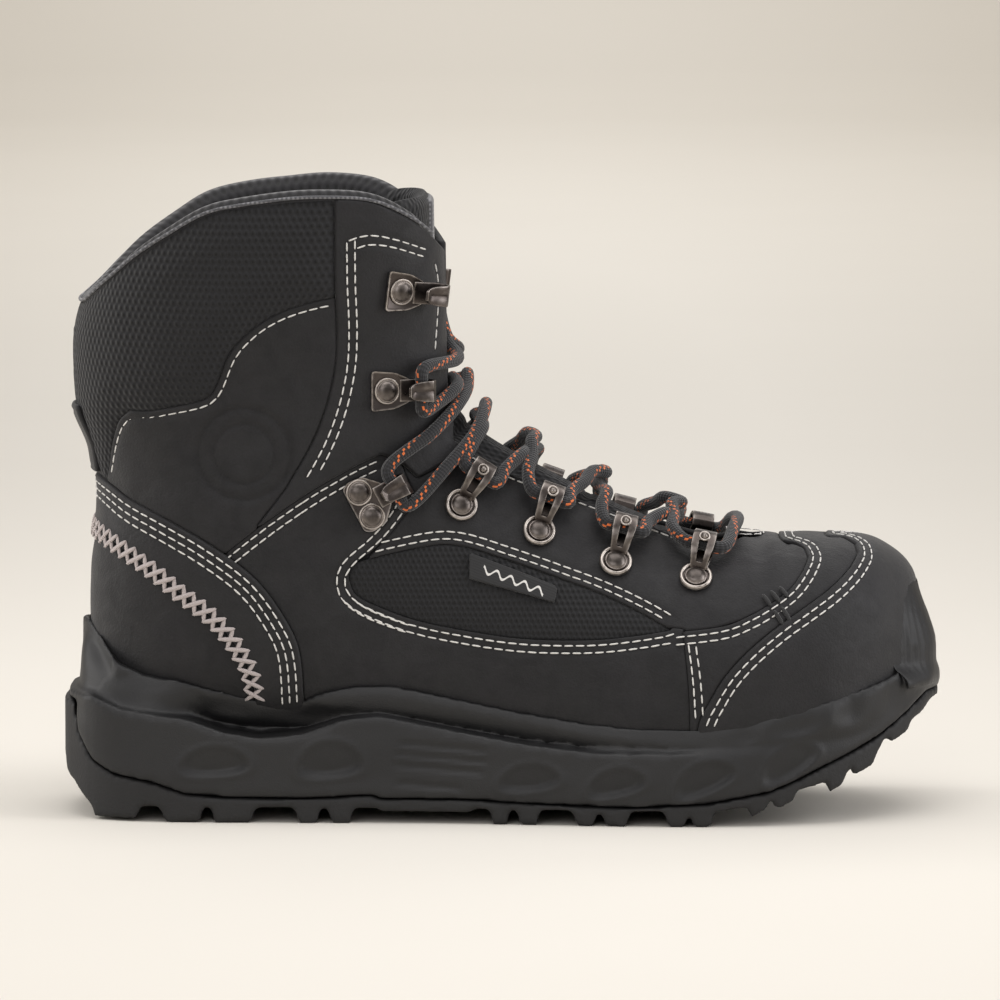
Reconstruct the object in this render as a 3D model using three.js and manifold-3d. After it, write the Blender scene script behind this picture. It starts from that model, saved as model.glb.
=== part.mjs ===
import * as THREE from 'three';
import * as BufferGeometryUtils from 'three/addons/utils/BufferGeometryUtils.js';
import Module from 'manifold-3d';

// A black lace-up work boot for the right foot, in mm. The toe points along +X, the outer
// side faces -Y and the floor is z = 0. Tables below are drawn for a boot of drawnLength by
// drawnWidth by drawnHeight, and the overall sizes stretch them.
const bootLength = 310;
const bootWidth = 113;
const bootHeight = 222;
const drawnLength = 310;
const drawnWidth = 113;
const drawnHeight = 222;

// Thicknesses and clearances.
const leatherThickness = 2;
const liningThickness = 1.6;
const toeCapThickness = 2;
const counterThickness = 1.5;
const collarPadThickness = 5.5;
const metalThickness = 1.1;
const laceDiameter = 4.6;
const seamGap = 0.3;
const layerGap = 0.5;
const laceClearance = 0.45;
const tongueThickness = 5;
const laceHoleHeight = laceDiameter + 2 * laceClearance;

const cutReach = 90;

const wasm = await Module();
wasm.setup();

const alongRatio = bootLength / drawnLength;
const acrossRatio = bootWidth / drawnWidth;
const heightRatio = bootHeight / drawnHeight;

function clamp01(value) {
  return Math.min(1, Math.max(0, value));
}

function ramp(value, start, end) {
  const share = clamp01((value - start) / (end - start));
  return share * share * (3 - 2 * share);
}

// Cross sections of the outside of the upper, from the toe over the instep to the collar. Each
// is an oval between a top (or front) point and a bottom (or back) point in the middle plane:
// topX, topZ, bottomX, bottomZ, half width, middle y, squareness of the bottom and top halves,
// and where between bottom and top the oval is widest.
const sections = [
  [146.4, 68, 146.4, 55, 5, 5, 2.4, 2.2, 0.5],
  [145.8, 79.5, 146, 40, 16, 5, 2.8, 2.2, 0.46],
  [143.2, 86, 143.8, 35.5, 24.5, 4.5, 3.2, 2.2, 0.43],
  [137, 91.6, 138, 32, 33.5, 4, 3.6, 2.2, 0.4],
  [128, 95.6, 129, 28.5, 42, 3, 4, 2.3, 0.38],
  [112, 97, 113, 25, 49, 1, 4.4, 2.3, 0.36],
  [90, 97.8, 91, 22, 52.5, 0, 4.5, 2.2, 0.34],
  [66, 101.5, 66, 20.5, 52.5, 0, 4.5, 2, 0.33],
  [40, 111, 36, 21.5, 50, 0.5, 4.4, 1.9, 0.33],
  [14, 124, 2, 25, 46, 1, 4, 1.9, 0.35],
  [-5, 135, -40, 29, 43, 1, 3.6, 2.1, 0.38],
  [-14.5, 144, -92, 31, 41.5, 0.5, 3.4, 2.4, 0.44],
  [-18.4, 152, -132, 35, 41, 0, 2.9, 2.7, 0.5],
  [-19.6, 160, -144.5, 56, 41, 0, 2.5, 3, 0.52],
  [-20, 168, -146, 85, 41, 0, 2.3, 3.1, 0.52],
  [-20.2, 177, -143, 108, 41, 0, 2.3, 3.1, 0.52],
  [-20.4, 186, -144.5, 128, 42, 0, 2.3, 3.1, 0.52],
  [-20.6, 195, -149, 145, 43.5, 0, 2.3, 3.1, 0.52],
  [-20.8, 204, -150, 163, 45, 0, 2.3, 3.1, 0.52],
  [-21, 216, -149, 183, 45.5, 0, 2.3, 3.1, 0.52],
  [-21.2, 240, -148, 222, 45.5, 0, 2.3, 3.1, 0.52],
];
const lastSection = sections.length - 1;

// Values of the section table between its rows, along a smooth curve.
function sectionAt(position) {
  const row = Math.min(lastSection - 1, Math.max(0, Math.floor(position)));
  const t = position - row;
  const before = sections[Math.max(0, row - 1)];
  const after = sections[Math.min(lastSection, row + 2)];
  return sections[row].map((start, column) => {
    const end = sections[row + 1][column];
    const slopeIn = (end - before[column]) / 2;
    const slopeOut = (after[column] - start) / 2;
    const square = t * t;
    const cube = square * t;
    return (2 * cube - 3 * square + 1) * start + (cube - 2 * square + t) * slopeIn
      + (3 * square - 2 * cube) * end + (cube - square) * slopeOut;
  });
}

// A point of the upper's outside. The angle is 0 at the bottom, a quarter turn on the outer
// side (-Y), a half turn at the top and three quarters on the inner side.
function surfacePoint(position, angle) {
  const [topX, topZ, bottomX, bottomZ, half, middle, squareBottom, squareTop, widest] =
    sectionAt(position);
  const up = -Math.cos(angle);
  const out = Math.sin(angle);
  const power = 2 / (up < 0 ? squareBottom : squareTop);
  const reach = Math.sign(up) * Math.pow(Math.abs(up), power);
  const share = widest + (up < 0 ? widest : 1 - widest) * reach;
  const side = -Math.sign(out) * Math.pow(Math.abs(out), power);
  return new THREE.Vector3(
    (bottomX + (topX - bottomX) * share) * alongRatio,
    (middle + half * side) * acrossRatio,
    (bottomZ + (topZ - bottomZ) * share) * heightRatio,
  );
}

function surfaceNormal(position, angle) {
  const step = 0.02;
  const low = Math.max(0, position - step);
  const high = Math.min(lastSection, position + step);
  const along = surfacePoint(high, angle).sub(surfacePoint(low, angle));
  const round = surfacePoint(position, angle + step).sub(surfacePoint(position, angle - step));
  return round.cross(along).normalize();
}

// Every point of the upper's outside moved out by the distance that depthAt gives for it.
function offsetPoint(position, angle, depthAt) {
  const point = surfacePoint(position, angle);
  const distance = depthAt(point.x / alongRatio, point.y, point.z / heightRatio);
  return point.addScaledVector(surfaceNormal(position, angle), distance);
}

const ringPositions = [];
for (let row = 0; row <= lastSection; row += 1) {
  ringPositions.push(row);
  if (row >= 6 && row <= 12) {
    ringPositions.push(row + 0.5);
  }
}

// Where the points of each ring lie, closer together near the throat.
const halfTurn = [0, 34, 62, 90, 115, 135, 150, 162, 171, 180];
const ringAngles = [...halfTurn, ...halfTurn.slice(1, -1).reverse().map((angle) => 360 - angle)]
  .map((angle) => THREE.MathUtils.degToRad(angle));
const acrossCount = ringAngles.length;

// Turns a geometry into a closed solid that can be joined and cut.
function solidFrom(geometry) {
  geometry.deleteAttribute('normal');
  geometry.deleteAttribute('uv');
  const merged = BufferGeometryUtils.mergeVertices(geometry, 1e-4);
  const mesh = new wasm.Mesh({
    numProp: 3,
    vertProperties: new Float32Array(merged.attributes.position.array),
    triVerts: new Uint32Array(merged.index.array),
  });
  mesh.merge();
  return new wasm.Manifold(mesh);
}

// The whole upper as one closed solid, moved out or in by depthAt.
function upperSolid(depthAt) {
  const positions = [];
  for (const ring of ringPositions) {
    for (let step = 0; step < acrossCount; step += 1) {
      const point = offsetPoint(ring, ringAngles[step], depthAt);
      positions.push(point.x, point.y, point.z);
    }
  }
  const triangles = [];
  const ringCount = ringPositions.length;
  for (let ring = 0; ring < ringCount - 1; ring += 1) {
    for (let step = 0; step < acrossCount; step += 1) {
      const next = (step + 1) % acrossCount;
      const a = ring * acrossCount + step;
      const b = ring * acrossCount + next;
      const c = (ring + 1) * acrossCount + next;
      const d = (ring + 1) * acrossCount + step;
      triangles.push(a, b, c, a, c, d);
    }
  }
  const ends = [[0, 0], [lastSection, (ringCount - 1) * acrossCount]];
  for (const [position, first] of ends) {
    const bottom = offsetPoint(position, 0, depthAt);
    const centre = offsetPoint(position, Math.PI, depthAt).add(bottom).multiplyScalar(0.5);
    const index = positions.length / 3;
    positions.push(centre.x, centre.y, centre.z);
    for (let step = 0; step < acrossCount; step += 1) {
      const next = (step + 1) % acrossCount;
      if (first === 0) {
        triangles.push(index, first + next, first + step);
      } else {
        triangles.push(index, first + step, first + next);
      }
    }
  }
  const geometry = new THREE.BufferGeometry();
  geometry.setAttribute('position', new THREE.Float32BufferAttribute(positions, 3));
  geometry.setIndex(triangles);
  return solidFrom(geometry);
}

// A shape drawn in the side view (x, z) and carried across from one y to another.
function sidePrism(outline, fromY, toY) {
  const shape = new THREE.Shape(
    outline.map(([x, z]) => new THREE.Vector2(x * alongRatio, z * heightRatio)),
  );
  const geometry = new THREE.ExtrudeGeometry(shape, { depth: toY - fromY, bevelEnabled: false });
  geometry.rotateX(Math.PI / 2);
  geometry.translate(0, toY, 0);
  return solidFrom(geometry);
}

// The same outline moved outwards by a distance.
function grown(outline, distance) {
  const turn = Math.sign(THREE.ShapeUtils.area(outline.map(([x, z]) => new THREE.Vector2(x, z))));
  return outline.map((point, index) => {
    const before = outline[(index + outline.length - 1) % outline.length];
    const after = outline[(index + 1) % outline.length];
    const first = new THREE.Vector2(point[0] - before[0], point[1] - before[1]).normalize();
    const second = new THREE.Vector2(after[0] - point[0], after[1] - point[1]).normalize();
    const out = new THREE.Vector2(first.y + second.y, -first.x - second.x).normalize();
    const stretch = Math.min(3, 1 / Math.max(0.2, out.dot(new THREE.Vector2(first.y, -first.x))));
    const push = distance * stretch * turn;
    return [point[0] + out.x * push, point[1] + out.y * push];
  });
}

function largest(solid) {
  const pieces = solid.decompose();
  return pieces.reduce((best, piece) => (piece.volume() > best.volume() ? piece : best));
}

const group = new THREE.Group();
group.name = 'work_boot';

function addGeometry(name, geometry, look) {
  const material = new THREE.MeshStandardMaterial(look);
  material.name = `${name}_material`;
  const mesh = new THREE.Mesh(geometry, material);
  mesh.name = name;
  group.add(mesh);
  return mesh;
}

function addSolid(name, solid, look) {
  const mesh = largest(solid).getMesh();
  const geometry = new THREE.BufferGeometry();
  const position = new THREE.Float32BufferAttribute(mesh.vertProperties, 3);
  geometry.setAttribute('position', position);
  geometry.setIndex(new THREE.Uint32BufferAttribute(mesh.triVerts, 1));
  return addGeometry(name, geometry, look);
}

const leatherLook = { color: 0x1d1c1e, roughness: 0.6, metalness: 0 };
const trimLook = { color: 0x242326, roughness: 0.55, metalness: 0 };
const meshLook = { color: 0x151516, roughness: 0.9, metalness: 0 };
const liningLook = { color: 0x1a1a1b, roughness: 0.95, metalness: 0 };
const rubberLook = { color: 0x141415, roughness: 0.75, metalness: 0 };
const foamLook = { color: 0x2a2a2c, roughness: 0.95, metalness: 0 };
const boardLook = { color: 0x8a7a5e, roughness: 0.9, metalness: 0 };
const steelLook = { color: 0x9a9da1, roughness: 0.35, metalness: 0.9 };
const gunmetalLook = { color: 0x6a6463, roughness: 0.35, metalness: 0.9 };
const laceLook = { color: 0x17161a, roughness: 0.9, metalness: 0 };
const pipingLook = { color: 0x8d8d90, roughness: 0.85, metalness: 0 };

// Side view lines, as x and z in mm of the drawn boot.
const collarLine = [
  [-148, 181], [-145.6, 183], [-138, 190.5], [-129.4, 198], [-116, 207.5], [-104.7, 214],
  [-91.4, 217.3], [-77, 219], [-58, 220], [-45.8, 218.6], [-35.3, 213.4], [-27, 207],
  [-20, 198],
];
const aboveCollar = [[-175, 181], ...collarLine, [0, 198], [0, 262], [-175, 262]];
const throatEdge = [[84, 97.6], [76, 95.6], [69, 96.4], [51, 102.6], [34, 109], [16, 116], [2, 121.5], [-18, 133]];
const aboveThroat = [...throatEdge, [-18, 170], [110, 170], [110, 97.6]];
const throatHalfWidth = 16;
const featherLine = [
  [-170, 38], [-138, 37.4], [-120, 34.2], [-92, 33.2], [-60, 32.2], [-40, 31.2], [2, 27.2],
  [36, 23.7], [66, 22.7], [91, 24.2], [113, 27.2], [129, 31], [138, 34.6], [143.6, 38.4],
  [160, 46],
];

function belowLine(line, drop, floor) {
  const lowered = line.map(([x, z]) => [x, z - drop]);
  return [...lowered, [line[line.length - 1][0], floor], [line[0][0], floor]];
}

const throatSlot = [[-45, 129], [-12, 129], [-2, 260], [-45, 260]];
const throatCut = sidePrism(aboveThroat, -cutReach, cutReach)
  .add(sidePrism(throatSlot, -throatHalfWidth * acrossRatio, throatHalfWidth * acrossRatio));
const collarCut = sidePrism(aboveCollar, -cutReach, cutReach);
const underFoot = sidePrism(belowLine(featherLine, 0, -20), -cutReach, cutReach);
const openings = throatCut.add(collarCut).add(underFoot);

// The upper's outer layer. Pieces are cut from it one after another, and each leaves a seam gap.
const innerSkin = upperSolid(() => -leatherThickness);
const levels = new Map();
function outerShell(rise) {
  if (!levels.has(rise)) {
    levels.set(rise, upperSolid(() => rise).subtract(innerSkin).subtract(openings));
  }
  return levels.get(rise);
}

let taken = null;
function panel(name, outline, rise, look, side) {
  const fromY = side === 1 ? 0 : -cutReach;
  const toY = side === -1 ? 0 : cutReach;
  let piece = outerShell(rise).intersect(sidePrism(outline, fromY, toY));
  if (taken) {
    piece = piece.subtract(taken);
  }
  const claimed = sidePrism(grown(outline, seamGap), fromY, toY);
  taken = taken ? taken.add(claimed) : claimed;
  return addSolid(name, piece, look);
}

function panelPair(name, outline, rise, look) {
  panel(`${name}_outer`, outline, rise, look, -1);
  panel(`${name}_inner`, outline, rise, look, 1);
}

const crossSeam = [
  [-88, 15], [-87.4, 44], [-89, 53], [-92, 59], [-96, 65], [-101, 71], [-107, 76],
  [-114, 81], [-120, 86], [-128, 91.5], [-136, 96.5], [-144, 101],
];
const heelStrapOutline = [
  [-70, 15], [-70.4, 44], [-72, 61], [-77, 72], [-87, 85.5], [-102, 97], [-117, 105.5],
  [-131, 112.5], [-139, 117.5], [-144, 119.5], [-175, 119.5], [-175, 101],
  ...[...crossSeam].reverse(),
];
panel('heel_strap', heelStrapOutline, 1.6, trimLook);
panel('heel_cover', [...crossSeam, [-175, 101], [-175, 15]], 0.4, leatherLook);

const toeEdge = [
  [68, 15], [68.4, 35], [73, 45], [78, 53], [86, 61.5], [96, 69.5], [106, 76], [115, 82],
  [122, 88], [125, 92], [124.4, 94.6], [121, 96.1], [115, 96.5], [114, 97],
];
panel('toe_cover', [...toeEdge, [114, 115], [175, 115], [175, 15]], 1.2, trimLook);

const vampSeam = [
  [66, 15], [65, 48], [63, 68], [78, 70], [87, 73.6], [93, 76.8], [100, 81.4], [105, 87],
  [107.6, 91.6], [106.4, 94.4], [103, 95.8], [98.6, 96.4], [98, 97],
];
panel('vamp_strip', [...vampSeam, [98, 115], [130, 115], [130, 15]], 0.6, leatherLook);

const anklePlateSeam = [
  [-104, 89], [-98, 94.5], [-84, 105.5], [-68, 116.5], [-52, 125.5], [-43, 129.5], [-36, 126.5],
];
const facingOutline = [
  ...anklePlateSeam.slice(2), [-30, 121], [-20, 126], [0, 150], [0, 240], [-59, 240],
  [-59, 191], [-58.4, 175], [-59, 161], [-62, 147], [-67, 134], [-76, 118],
];
panelPair('upper_facing', facingOutline, 1.2, trimLook);

const anklePanelOutline = [
  ...anklePlateSeam.slice(0, 6), [-40, 186], [-58, 185.4], [-69, 183], [-80, 179],
  [-89, 173], [-96, 165], [-100.4, 154], [-103, 150], [-108, 148], [-117, 146],
  [-125, 144.4], [-131, 144.6], [-135, 140.5], [-137, 134.5], [-138.4, 126], [-139.4, 112],
  [-132, 100],
];
panelPair('ankle_panel', anklePanelOutline, 0.8, leatherLook);

const meshWindowTop = [
  [-53, 91], [-44, 93.6], [-38, 95], [-28, 97], [-20, 97.8], [-12, 96.6], [-2, 93.4],
  [9, 89.8], [20, 86], [34, 81], [48, 74.6], [59, 68.6],
];
const meshWindowBottom = [
  [48, 66.8], [34, 65.2], [20, 64.8], [6, 65.2], [-9, 67], [-30, 71], [-44, 76], [-52, 80.4],
  [-54.4, 86],
];
const meshWindowOutline = [...meshWindowTop, ...meshWindowBottom];
panelPair('mesh_window', meshWindowOutline, -0.6, meshLook);

const quarterOutline = [
  [-115, 15], [-115, 100], ...anklePlateSeam, [-31, 113.5], [-35, 108], [-40, 101.4],
  [-47, 95], [-52, 91.4], [-54, 86], [-30, 76], [20, 72], [58, 69.4], [63, 69], [70, 60],
  [70, 15],
];
panelPair('quarter', quarterOutline, 0, leatherLook);

const vampOutline = [
  [-50, 90], [-40, 101.4], [-35, 108], [-31, 113.5], [-36, 127], [-30, 150], [110, 150],
  [112, 80], [62, 66], [20, 78], [-30, 85],
];
panel('vamp', vampOutline, 0, leatherLook);

const collarOutline = [[-175, 100], [-175, 240], [-30, 240], [-30, 160], [-100, 120]];
panel('collar_mesh', collarOutline, 0.6, meshLook);

// Layers inside the leather. The lining steps in to leave room for the toe cap, the heel
// counter and the collar pad.
const liningFace = leatherThickness + layerGap;
function liningDepth(x, y, z) {
  const toe = ramp(x, 80, 88) * (toeCapThickness + layerGap);
  const heel = ramp(-x, 62, 78) * (1 - ramp(z, 98, 112)) * (counterThickness + layerGap);
  const collar = ramp(z, 124, 142) * ramp(-x, 48, 62) * (collarPadThickness + layerGap);
  return -(liningFace + toe + heel + collar);
}
const liningOutside = upperSolid(liningDepth);
const liningInside = upperSolid((x, y, z) => liningDepth(x, y, z) - liningThickness);
const liningThroat = [...throatEdge.slice(1).map(([x, z]) => [x - 3, z - 9]), [-40, 140], [-40, 170]];
const liningCut = throatCut.add(collarCut).add(
  sidePrism(
    [...liningThroat, [110, 170], [110, 120]],
    -(throatHalfWidth - 3) * acrossRatio,
    (throatHalfWidth - 3) * acrossRatio,
  ),
);
addSolid('lining_bootie', liningOutside.subtract(liningInside).subtract(liningCut), liningLook);

function innerLayer(outline, from, to) {
  const shell = upperSolid(() => -from).subtract(upperSolid(() => -to));
  return shell.subtract(liningCut).subtract(underFoot)
    .intersect(sidePrism(outline, -cutReach, cutReach));
}

const capOutline = [[92, 34], [95, 110], [170, 110], [170, 34]];
const capFace = liningFace;
addSolid('steel_toe_cap', innerLayer(capOutline, capFace, capFace + toeCapThickness), steelLook);
const guardOutline = [[88.6, 34], [91.6, 110], [94.6, 110], [91.6, 34]];
addSolid(
  'toe_cap_edge_guard',
  innerLayer(guardOutline, capFace, capFace + toeCapThickness),
  rubberLook,
);
const counterOutline = [[-175, 40], [-97, 40], [-101, 60], [-116, 76], [-134, 82], [-175, 82]];
addSolid(
  'heel_counter',
  innerLayer(counterOutline, liningFace, liningFace + counterThickness),
  boardLook,
);
const padOutline = [[-175, 160], [-88, 160], [-84, 240], [-175, 240]];
addSolid(
  'collar_pad',
  innerLayer(padOutline, liningFace, liningFace + collarPadThickness),
  foamLook,
);

const boardSolid = upperSolid(() => -seamGap)
  .intersect(sidePrism(belowLine(featherLine, seamGap, -20), -cutReach, cutReach));
addSolid('insole_board', boardSolid, boardLook);

const footbedTop = [
  [-150, 56], [-138, 49], [-120, 45], [-92, 43], [-60, 42], [-40, 40], [2, 36], [36, 32.5],
  [66, 31.5], [91, 32.5], [113, 36], [129, 41], [150, 50],
];
const footbedSolid = upperSolid(
  (x, y, z) => liningDepth(x, y, z) - liningThickness - seamGap - 0.2,
).intersect(sidePrism(belowLine(footbedTop, 0, -20), -cutReach, cutReach));
addSolid('footbed', footbedSolid, foamLook);

// The tongue lies under the lining's edges and rises between them.
const tongueFace = liningFace + liningThickness + layerGap;
function tongueDepth(x, y, z) {
  const crest = (1 - ramp(Math.abs(y), 7, 13.5)) * (1 - ramp(x, 50, 64)) * (1 - ramp(z, 148, 164));
  return -tongueFace + crest * (tongueFace - 2.6);
}
const tongueOutline = [
  [77, 112], [76, 87], [60, 88], [36, 96], [12, 108], [-10, 122], [-28, 138], [-41, 160],
  [-43, 190], [-42, 210], [-38, 216], [-33, 218], [-20, 219], [20, 219], [60, 140],
];
const tongueSolid = upperSolid(tongueDepth)
  .subtract(upperSolid(() => -tongueFace - tongueThickness))
  .intersect(sidePrism(tongueOutline, -cutReach, cutReach));
addSolid('tongue', tongueSolid, foamLook);

// The strip behind the heel that the boot is pulled on by.
const tabHalfWidth = 13;
const tabOutline = [[-175, 121], [-128, 121], [-128, 145], [-175, 145]];
const tabSolid = upperSolid((x, y, z) => 1 + 1.6 * ramp(z, 128, 146) + 1.8)
  .subtract(upperSolid((x, y, z) => 1 + 1.6 * ramp(z, 128, 146)))
  .intersect(sidePrism(tabOutline, -tabHalfWidth, tabHalfWidth));
addSolid('pull_tab', tabSolid, trimLook);

// A woven label hanging from the seam over the outer side window.
const labelOutline = [[-12, 94.8], [19, 83], [18, 77.6], [-12, 85.8]];
const labelSolid = upperSolid(() => 1.2).subtract(upperSolid(() => 0.4))
  .intersect(sidePrism(labelOutline, -cutReach, 0));
addSolid('side_label', labelSolid, trimLook);

// The sole unit. Rows give x with the outer and inner edge of its outline seen from above.
const footprintRows = [
  [-156, -14, 14], [-153, -24, 24], [-146, -34, 34], [-134, -40.5, 40.5], [-115, -44, 44],
  [-90, -45.4, 45.4], [-60, -46, 46.4], [-30, -47, 48], [0, -50, 51], [30, -54, 54.5],
  [60, -56.5, 56.5], [85, -56, 56.5], [105, -52.6, 55], [122, -45.6, 51], [136, -36, 43.5],
  [146, -24, 33.5], [152, -12, 23], [155, -2, 14],
];

function footprint(inset) {
  const outer = footprintRows.map(([x, y]) => [x, y + inset]);
  const inner = footprintRows.map(([x, , y]) => [x, y - inset]);
  const points = [...outer, ...inner.reverse()].map(([x, y]) => new THREE.Vector2(
    x * alongRatio * (1 - inset / 160),
    y * acrossRatio,
  ));
  const geometry = new THREE.ExtrudeGeometry(new THREE.Shape(points), {
    depth: 120,
    bevelEnabled: false,
  });
  geometry.translate(0, 0, -5);
  return solidFrom(geometry);
}

const foxingLine = [
  [-175, 69.5], [-147, 68.5], [-142, 63], [-136, 55], [-126, 51], [-115, 49.6], [-103, 46],
  [-90, 42.4], [-81, 40.4], [-73, 41], [-65, 44.6], [-53, 47.2], [-40, 48], [-25, 45],
  [2, 39.4], [28, 35.4], [48, 33.6], [67, 33.6], [87, 36.4], [106, 41.2], [119, 45], [132, 49],
  [141, 52.6], [175, 58],
];
const ledgeLine = [
  [-175, 45], [-145, 44], [-134, 39.5], [-111, 36.5], [-98, 32], [-86, 30], [-71, 31.5],
  [-57, 36.5], [-44, 38], [-18, 33], [8, 28.5], [34, 25.6], [61, 25.6], [87, 28], [106, 32],
  [119, 36], [132, 40.5], [145, 47.5], [175, 53],
];
const bumperOutline = [[142.6, 46], [142.6, 78], [145.6, 82], [149, 81], [160, 70], [160, 46]];
const foxingThickness = 4.4;
const bumperThickness = 8.4;
const outsoleLine = [
  [-175, 42], [-152, 41], [-149.5, 30], [-145, 21], [-137, 16.4], [-124, 14], [-112, 10],
  [-98, 9], [-69, 8.6], [-46, 10], [-43, 8.6], [-13, 8.6], [12, 7.4], [45, 6.6], [72, 8],
  [93, 12], [103, 16], [112, 20.4], [121, 24.4], [132, 30], [143, 38], [149, 43], [175, 45],
];
const shankTop = [[-75, 29.8], [-40, 28.2], [2, 24.2], [30, 21]];
const shankThickness = 1.6;
const shankHalfWidth = 8;
function shankShape(play) {
  const top = shankTop.map(([x, z]) => [x, z - 0.6]);
  const bottom = shankTop.map(([x, z]) => [x, z - 0.6 - shankThickness]);
  return sidePrism(
    grown([...top, ...bottom.reverse()], play),
    -shankHalfWidth - play,
    shankHalfWidth + play,
  );
}
addSolid('shank', shankShape(0), steelLook);
const shankPocket = shankShape(seamGap)
  .add(shankShape(seamGap).translate([0, 0, 2 * heightRatio]));
function sideBand(topLine, bottomLine) {
  return sidePrism([...topLine, ...[...bottomLine].reverse()], -cutReach, cutReach);
}
const clearOfUpper = upperSolid(() => 1.6 + seamGap);
const closeToUpper = upperSolid(() => seamGap);
const raisedZone = sidePrism(
  [[-175, 15], [-66, 15], [-66, 130], [-175, 130]],
  -cutReach,
  cutReach,
).add(sidePrism([[62, 15], [175, 15], [175, 130], [62, 130]], -cutReach, cutReach));
const upperRoom = closeToUpper.add(clearOfUpper.intersect(raisedZone).subtract(underFoot));
const heelBulge = 5.5;
const foxing = upperSolid(
  (x, y, z) => foxingThickness + heelBulge * ramp(-x, 118, 140) * (1 - ramp(z, 44, 66)),
)
  .intersect(sideBand(foxingLine, ledgeLine.map(([x, z]) => [x, z - 3])));
const bumper = upperSolid(() => bumperThickness)
  .intersect(sidePrism(bumperOutline, -cutReach, cutReach));
const midsoleSolid = footprint(0).intersect(sideBand(ledgeLine, outsoleLine)).add(foxing)
  .add(bumper).subtract(upperRoom).subtract(shankPocket);
addSolid('midsole', midsoleSolid, rubberLook);

// Lugs as start and end along x with the height of their lower face.
const lugs = [
  [-144, -129.5, 0.9], [-119, -107, 0], [-101.5, -88.8, 0], [-72, -65.6, 0], [-60.4, -54, 0],
  [-43, -11.6, 4], [-3.6, 1.2, 0], [6, 11.6, 0], [25.8, 31.6, 0], [36, 43, 0], [58, 63.2, 0],
  [67, 72.4, 0], [87, 91.6, 3.2], [96, 101.5, 5.7], [115, 119, 11.4], [123.4, 129.6, 16.4],
  [136.6, 142.6, 27],
];
const lugRoot = 5.2;
const outsoleUnder = [[-175, 34], [-156.6, 26], [-154, 15], [-148, 8]];
for (const [start, end, low] of lugs) {
  const climb = start > 80 ? (end - start) * 0.55 : 0;
  const root = start > 80 ? low + 3.4 : lugRoot;
  outsoleUnder.push([start - 1.4, root], [start, low], [end, low + climb]);
  outsoleUnder.push([end + 1.4, root + climb]);
}
outsoleUnder.push([148, 36], [152, 40], [175, 42]);
const outsoleTop = outsoleLine.map(([x, z]) => [x, z - seamGap]);
const outsoleSide = sidePrism([...outsoleUnder, ...outsoleTop.reverse()], -cutReach, cutReach);
const middleGroove = new THREE.BoxGeometry(215 * alongRatio, 9, 2 * lugRoot);
middleGroove.translate(-15 * alongRatio, 0, 0);
const outsoleSolid = footprint(0.8).intersect(outsoleSide).subtract(solidFrom(middleGroove))
  .subtract(upperSolid(() => 2.5));
addSolid('outsole', outsoleSolid, rubberLook);

// The place on the upper's outside that is seen at x and z from one side, -1 outer or 1 inner.
function locate(x, z, side) {
  let best = null;
  let range = { low: 0, high: lastSection, from: 0.05, to: Math.PI - 0.02 };
  for (let round = 0; round < 7; round += 1) {
    let nearest = Infinity;
    for (let i = 0; i <= 40; i += 1) {
      for (let j = 0; j <= 40; j += 1) {
        const position = range.low + ((range.high - range.low) * i) / 40;
        const turn = range.from + ((range.to - range.from) * j) / 40;
        const angle = side < 0 ? turn : 2 * Math.PI - turn;
        const point = surfacePoint(position, angle);
        const away = Math.hypot(point.x - x * alongRatio, point.z - z * heightRatio);
        if (away < nearest) {
          nearest = away;
          best = { position, turn, angle };
        }
      }
    }
    const along = (range.high - range.low) / 8;
    const round2 = (range.to - range.from) / 8;
    range = {
      low: Math.max(0, best.position - along),
      high: Math.min(lastSection, best.position + along),
      from: Math.max(0.02, best.turn - round2),
      to: Math.min(Math.PI - 0.01, best.turn + round2),
    };
  }
  return best;
}

// A frame on the surface: x points the way the piece points, z points away from the boot.
function frameAt(x, z, degrees, side, lift) {
  const spot = locate(x, z, side);
  const away = surfaceNormal(spot.position, spot.angle);
  const point = surfacePoint(spot.position, spot.angle).addScaledVector(away, lift);
  const heading = new THREE.Vector3(
    Math.cos(THREE.MathUtils.degToRad(degrees)),
    0,
    Math.sin(THREE.MathUtils.degToRad(degrees)),
  );
  heading.y = -heading.dot(away) / away.y;
  heading.normalize();
  const across = new THREE.Vector3().crossVectors(away, heading);
  return new THREE.Matrix4().makeBasis(heading, across, away).setPosition(point);
}

function rounded(geometry, frame) {
  const solid = solidFrom(geometry).getMesh();
  const result = new THREE.BufferGeometry();
  result.setAttribute('position', new THREE.Float32BufferAttribute(solid.vertProperties, 3));
  result.setIndex(new THREE.Uint32BufferAttribute(solid.triVerts, 1));
  return result.applyMatrix4(frame);
}

const rivetRadius = 4;
const rivetShaft = 1.9;
function plateShape(points, holes) {
  const shape = new THREE.Shape(points.map(([x, y]) => new THREE.Vector2(x, y)));
  for (const [x, y] of holes) {
    const hole = new THREE.Path();
    hole.absarc(x, y, rivetShaft + seamGap, 0, 2 * Math.PI, true);
    shape.holes.push(hole);
  }
  const geometry = new THREE.ExtrudeGeometry(shape, {
    depth: metalThickness,
    bevelEnabled: false,
    curveSegments: 4,
  });
  return solidFrom(geometry);
}

// A strip bent in the x-z plane, with the given width in y.
function bentStrip(points, holePoints, width) {
  const shape = new THREE.Shape(points.map(([x, z]) => new THREE.Vector2(x, z)));
  if (holePoints.length) {
    shape.holes.push(new THREE.Path(holePoints.map(([x, z]) => new THREE.Vector2(x, z))));
  }
  const geometry = new THREE.ExtrudeGeometry(shape, { depth: width, bevelEnabled: false });
  geometry.rotateX(Math.PI / 2);
  geometry.translate(0, width / 2, 0);
  return solidFrom(geometry);
}

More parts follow.
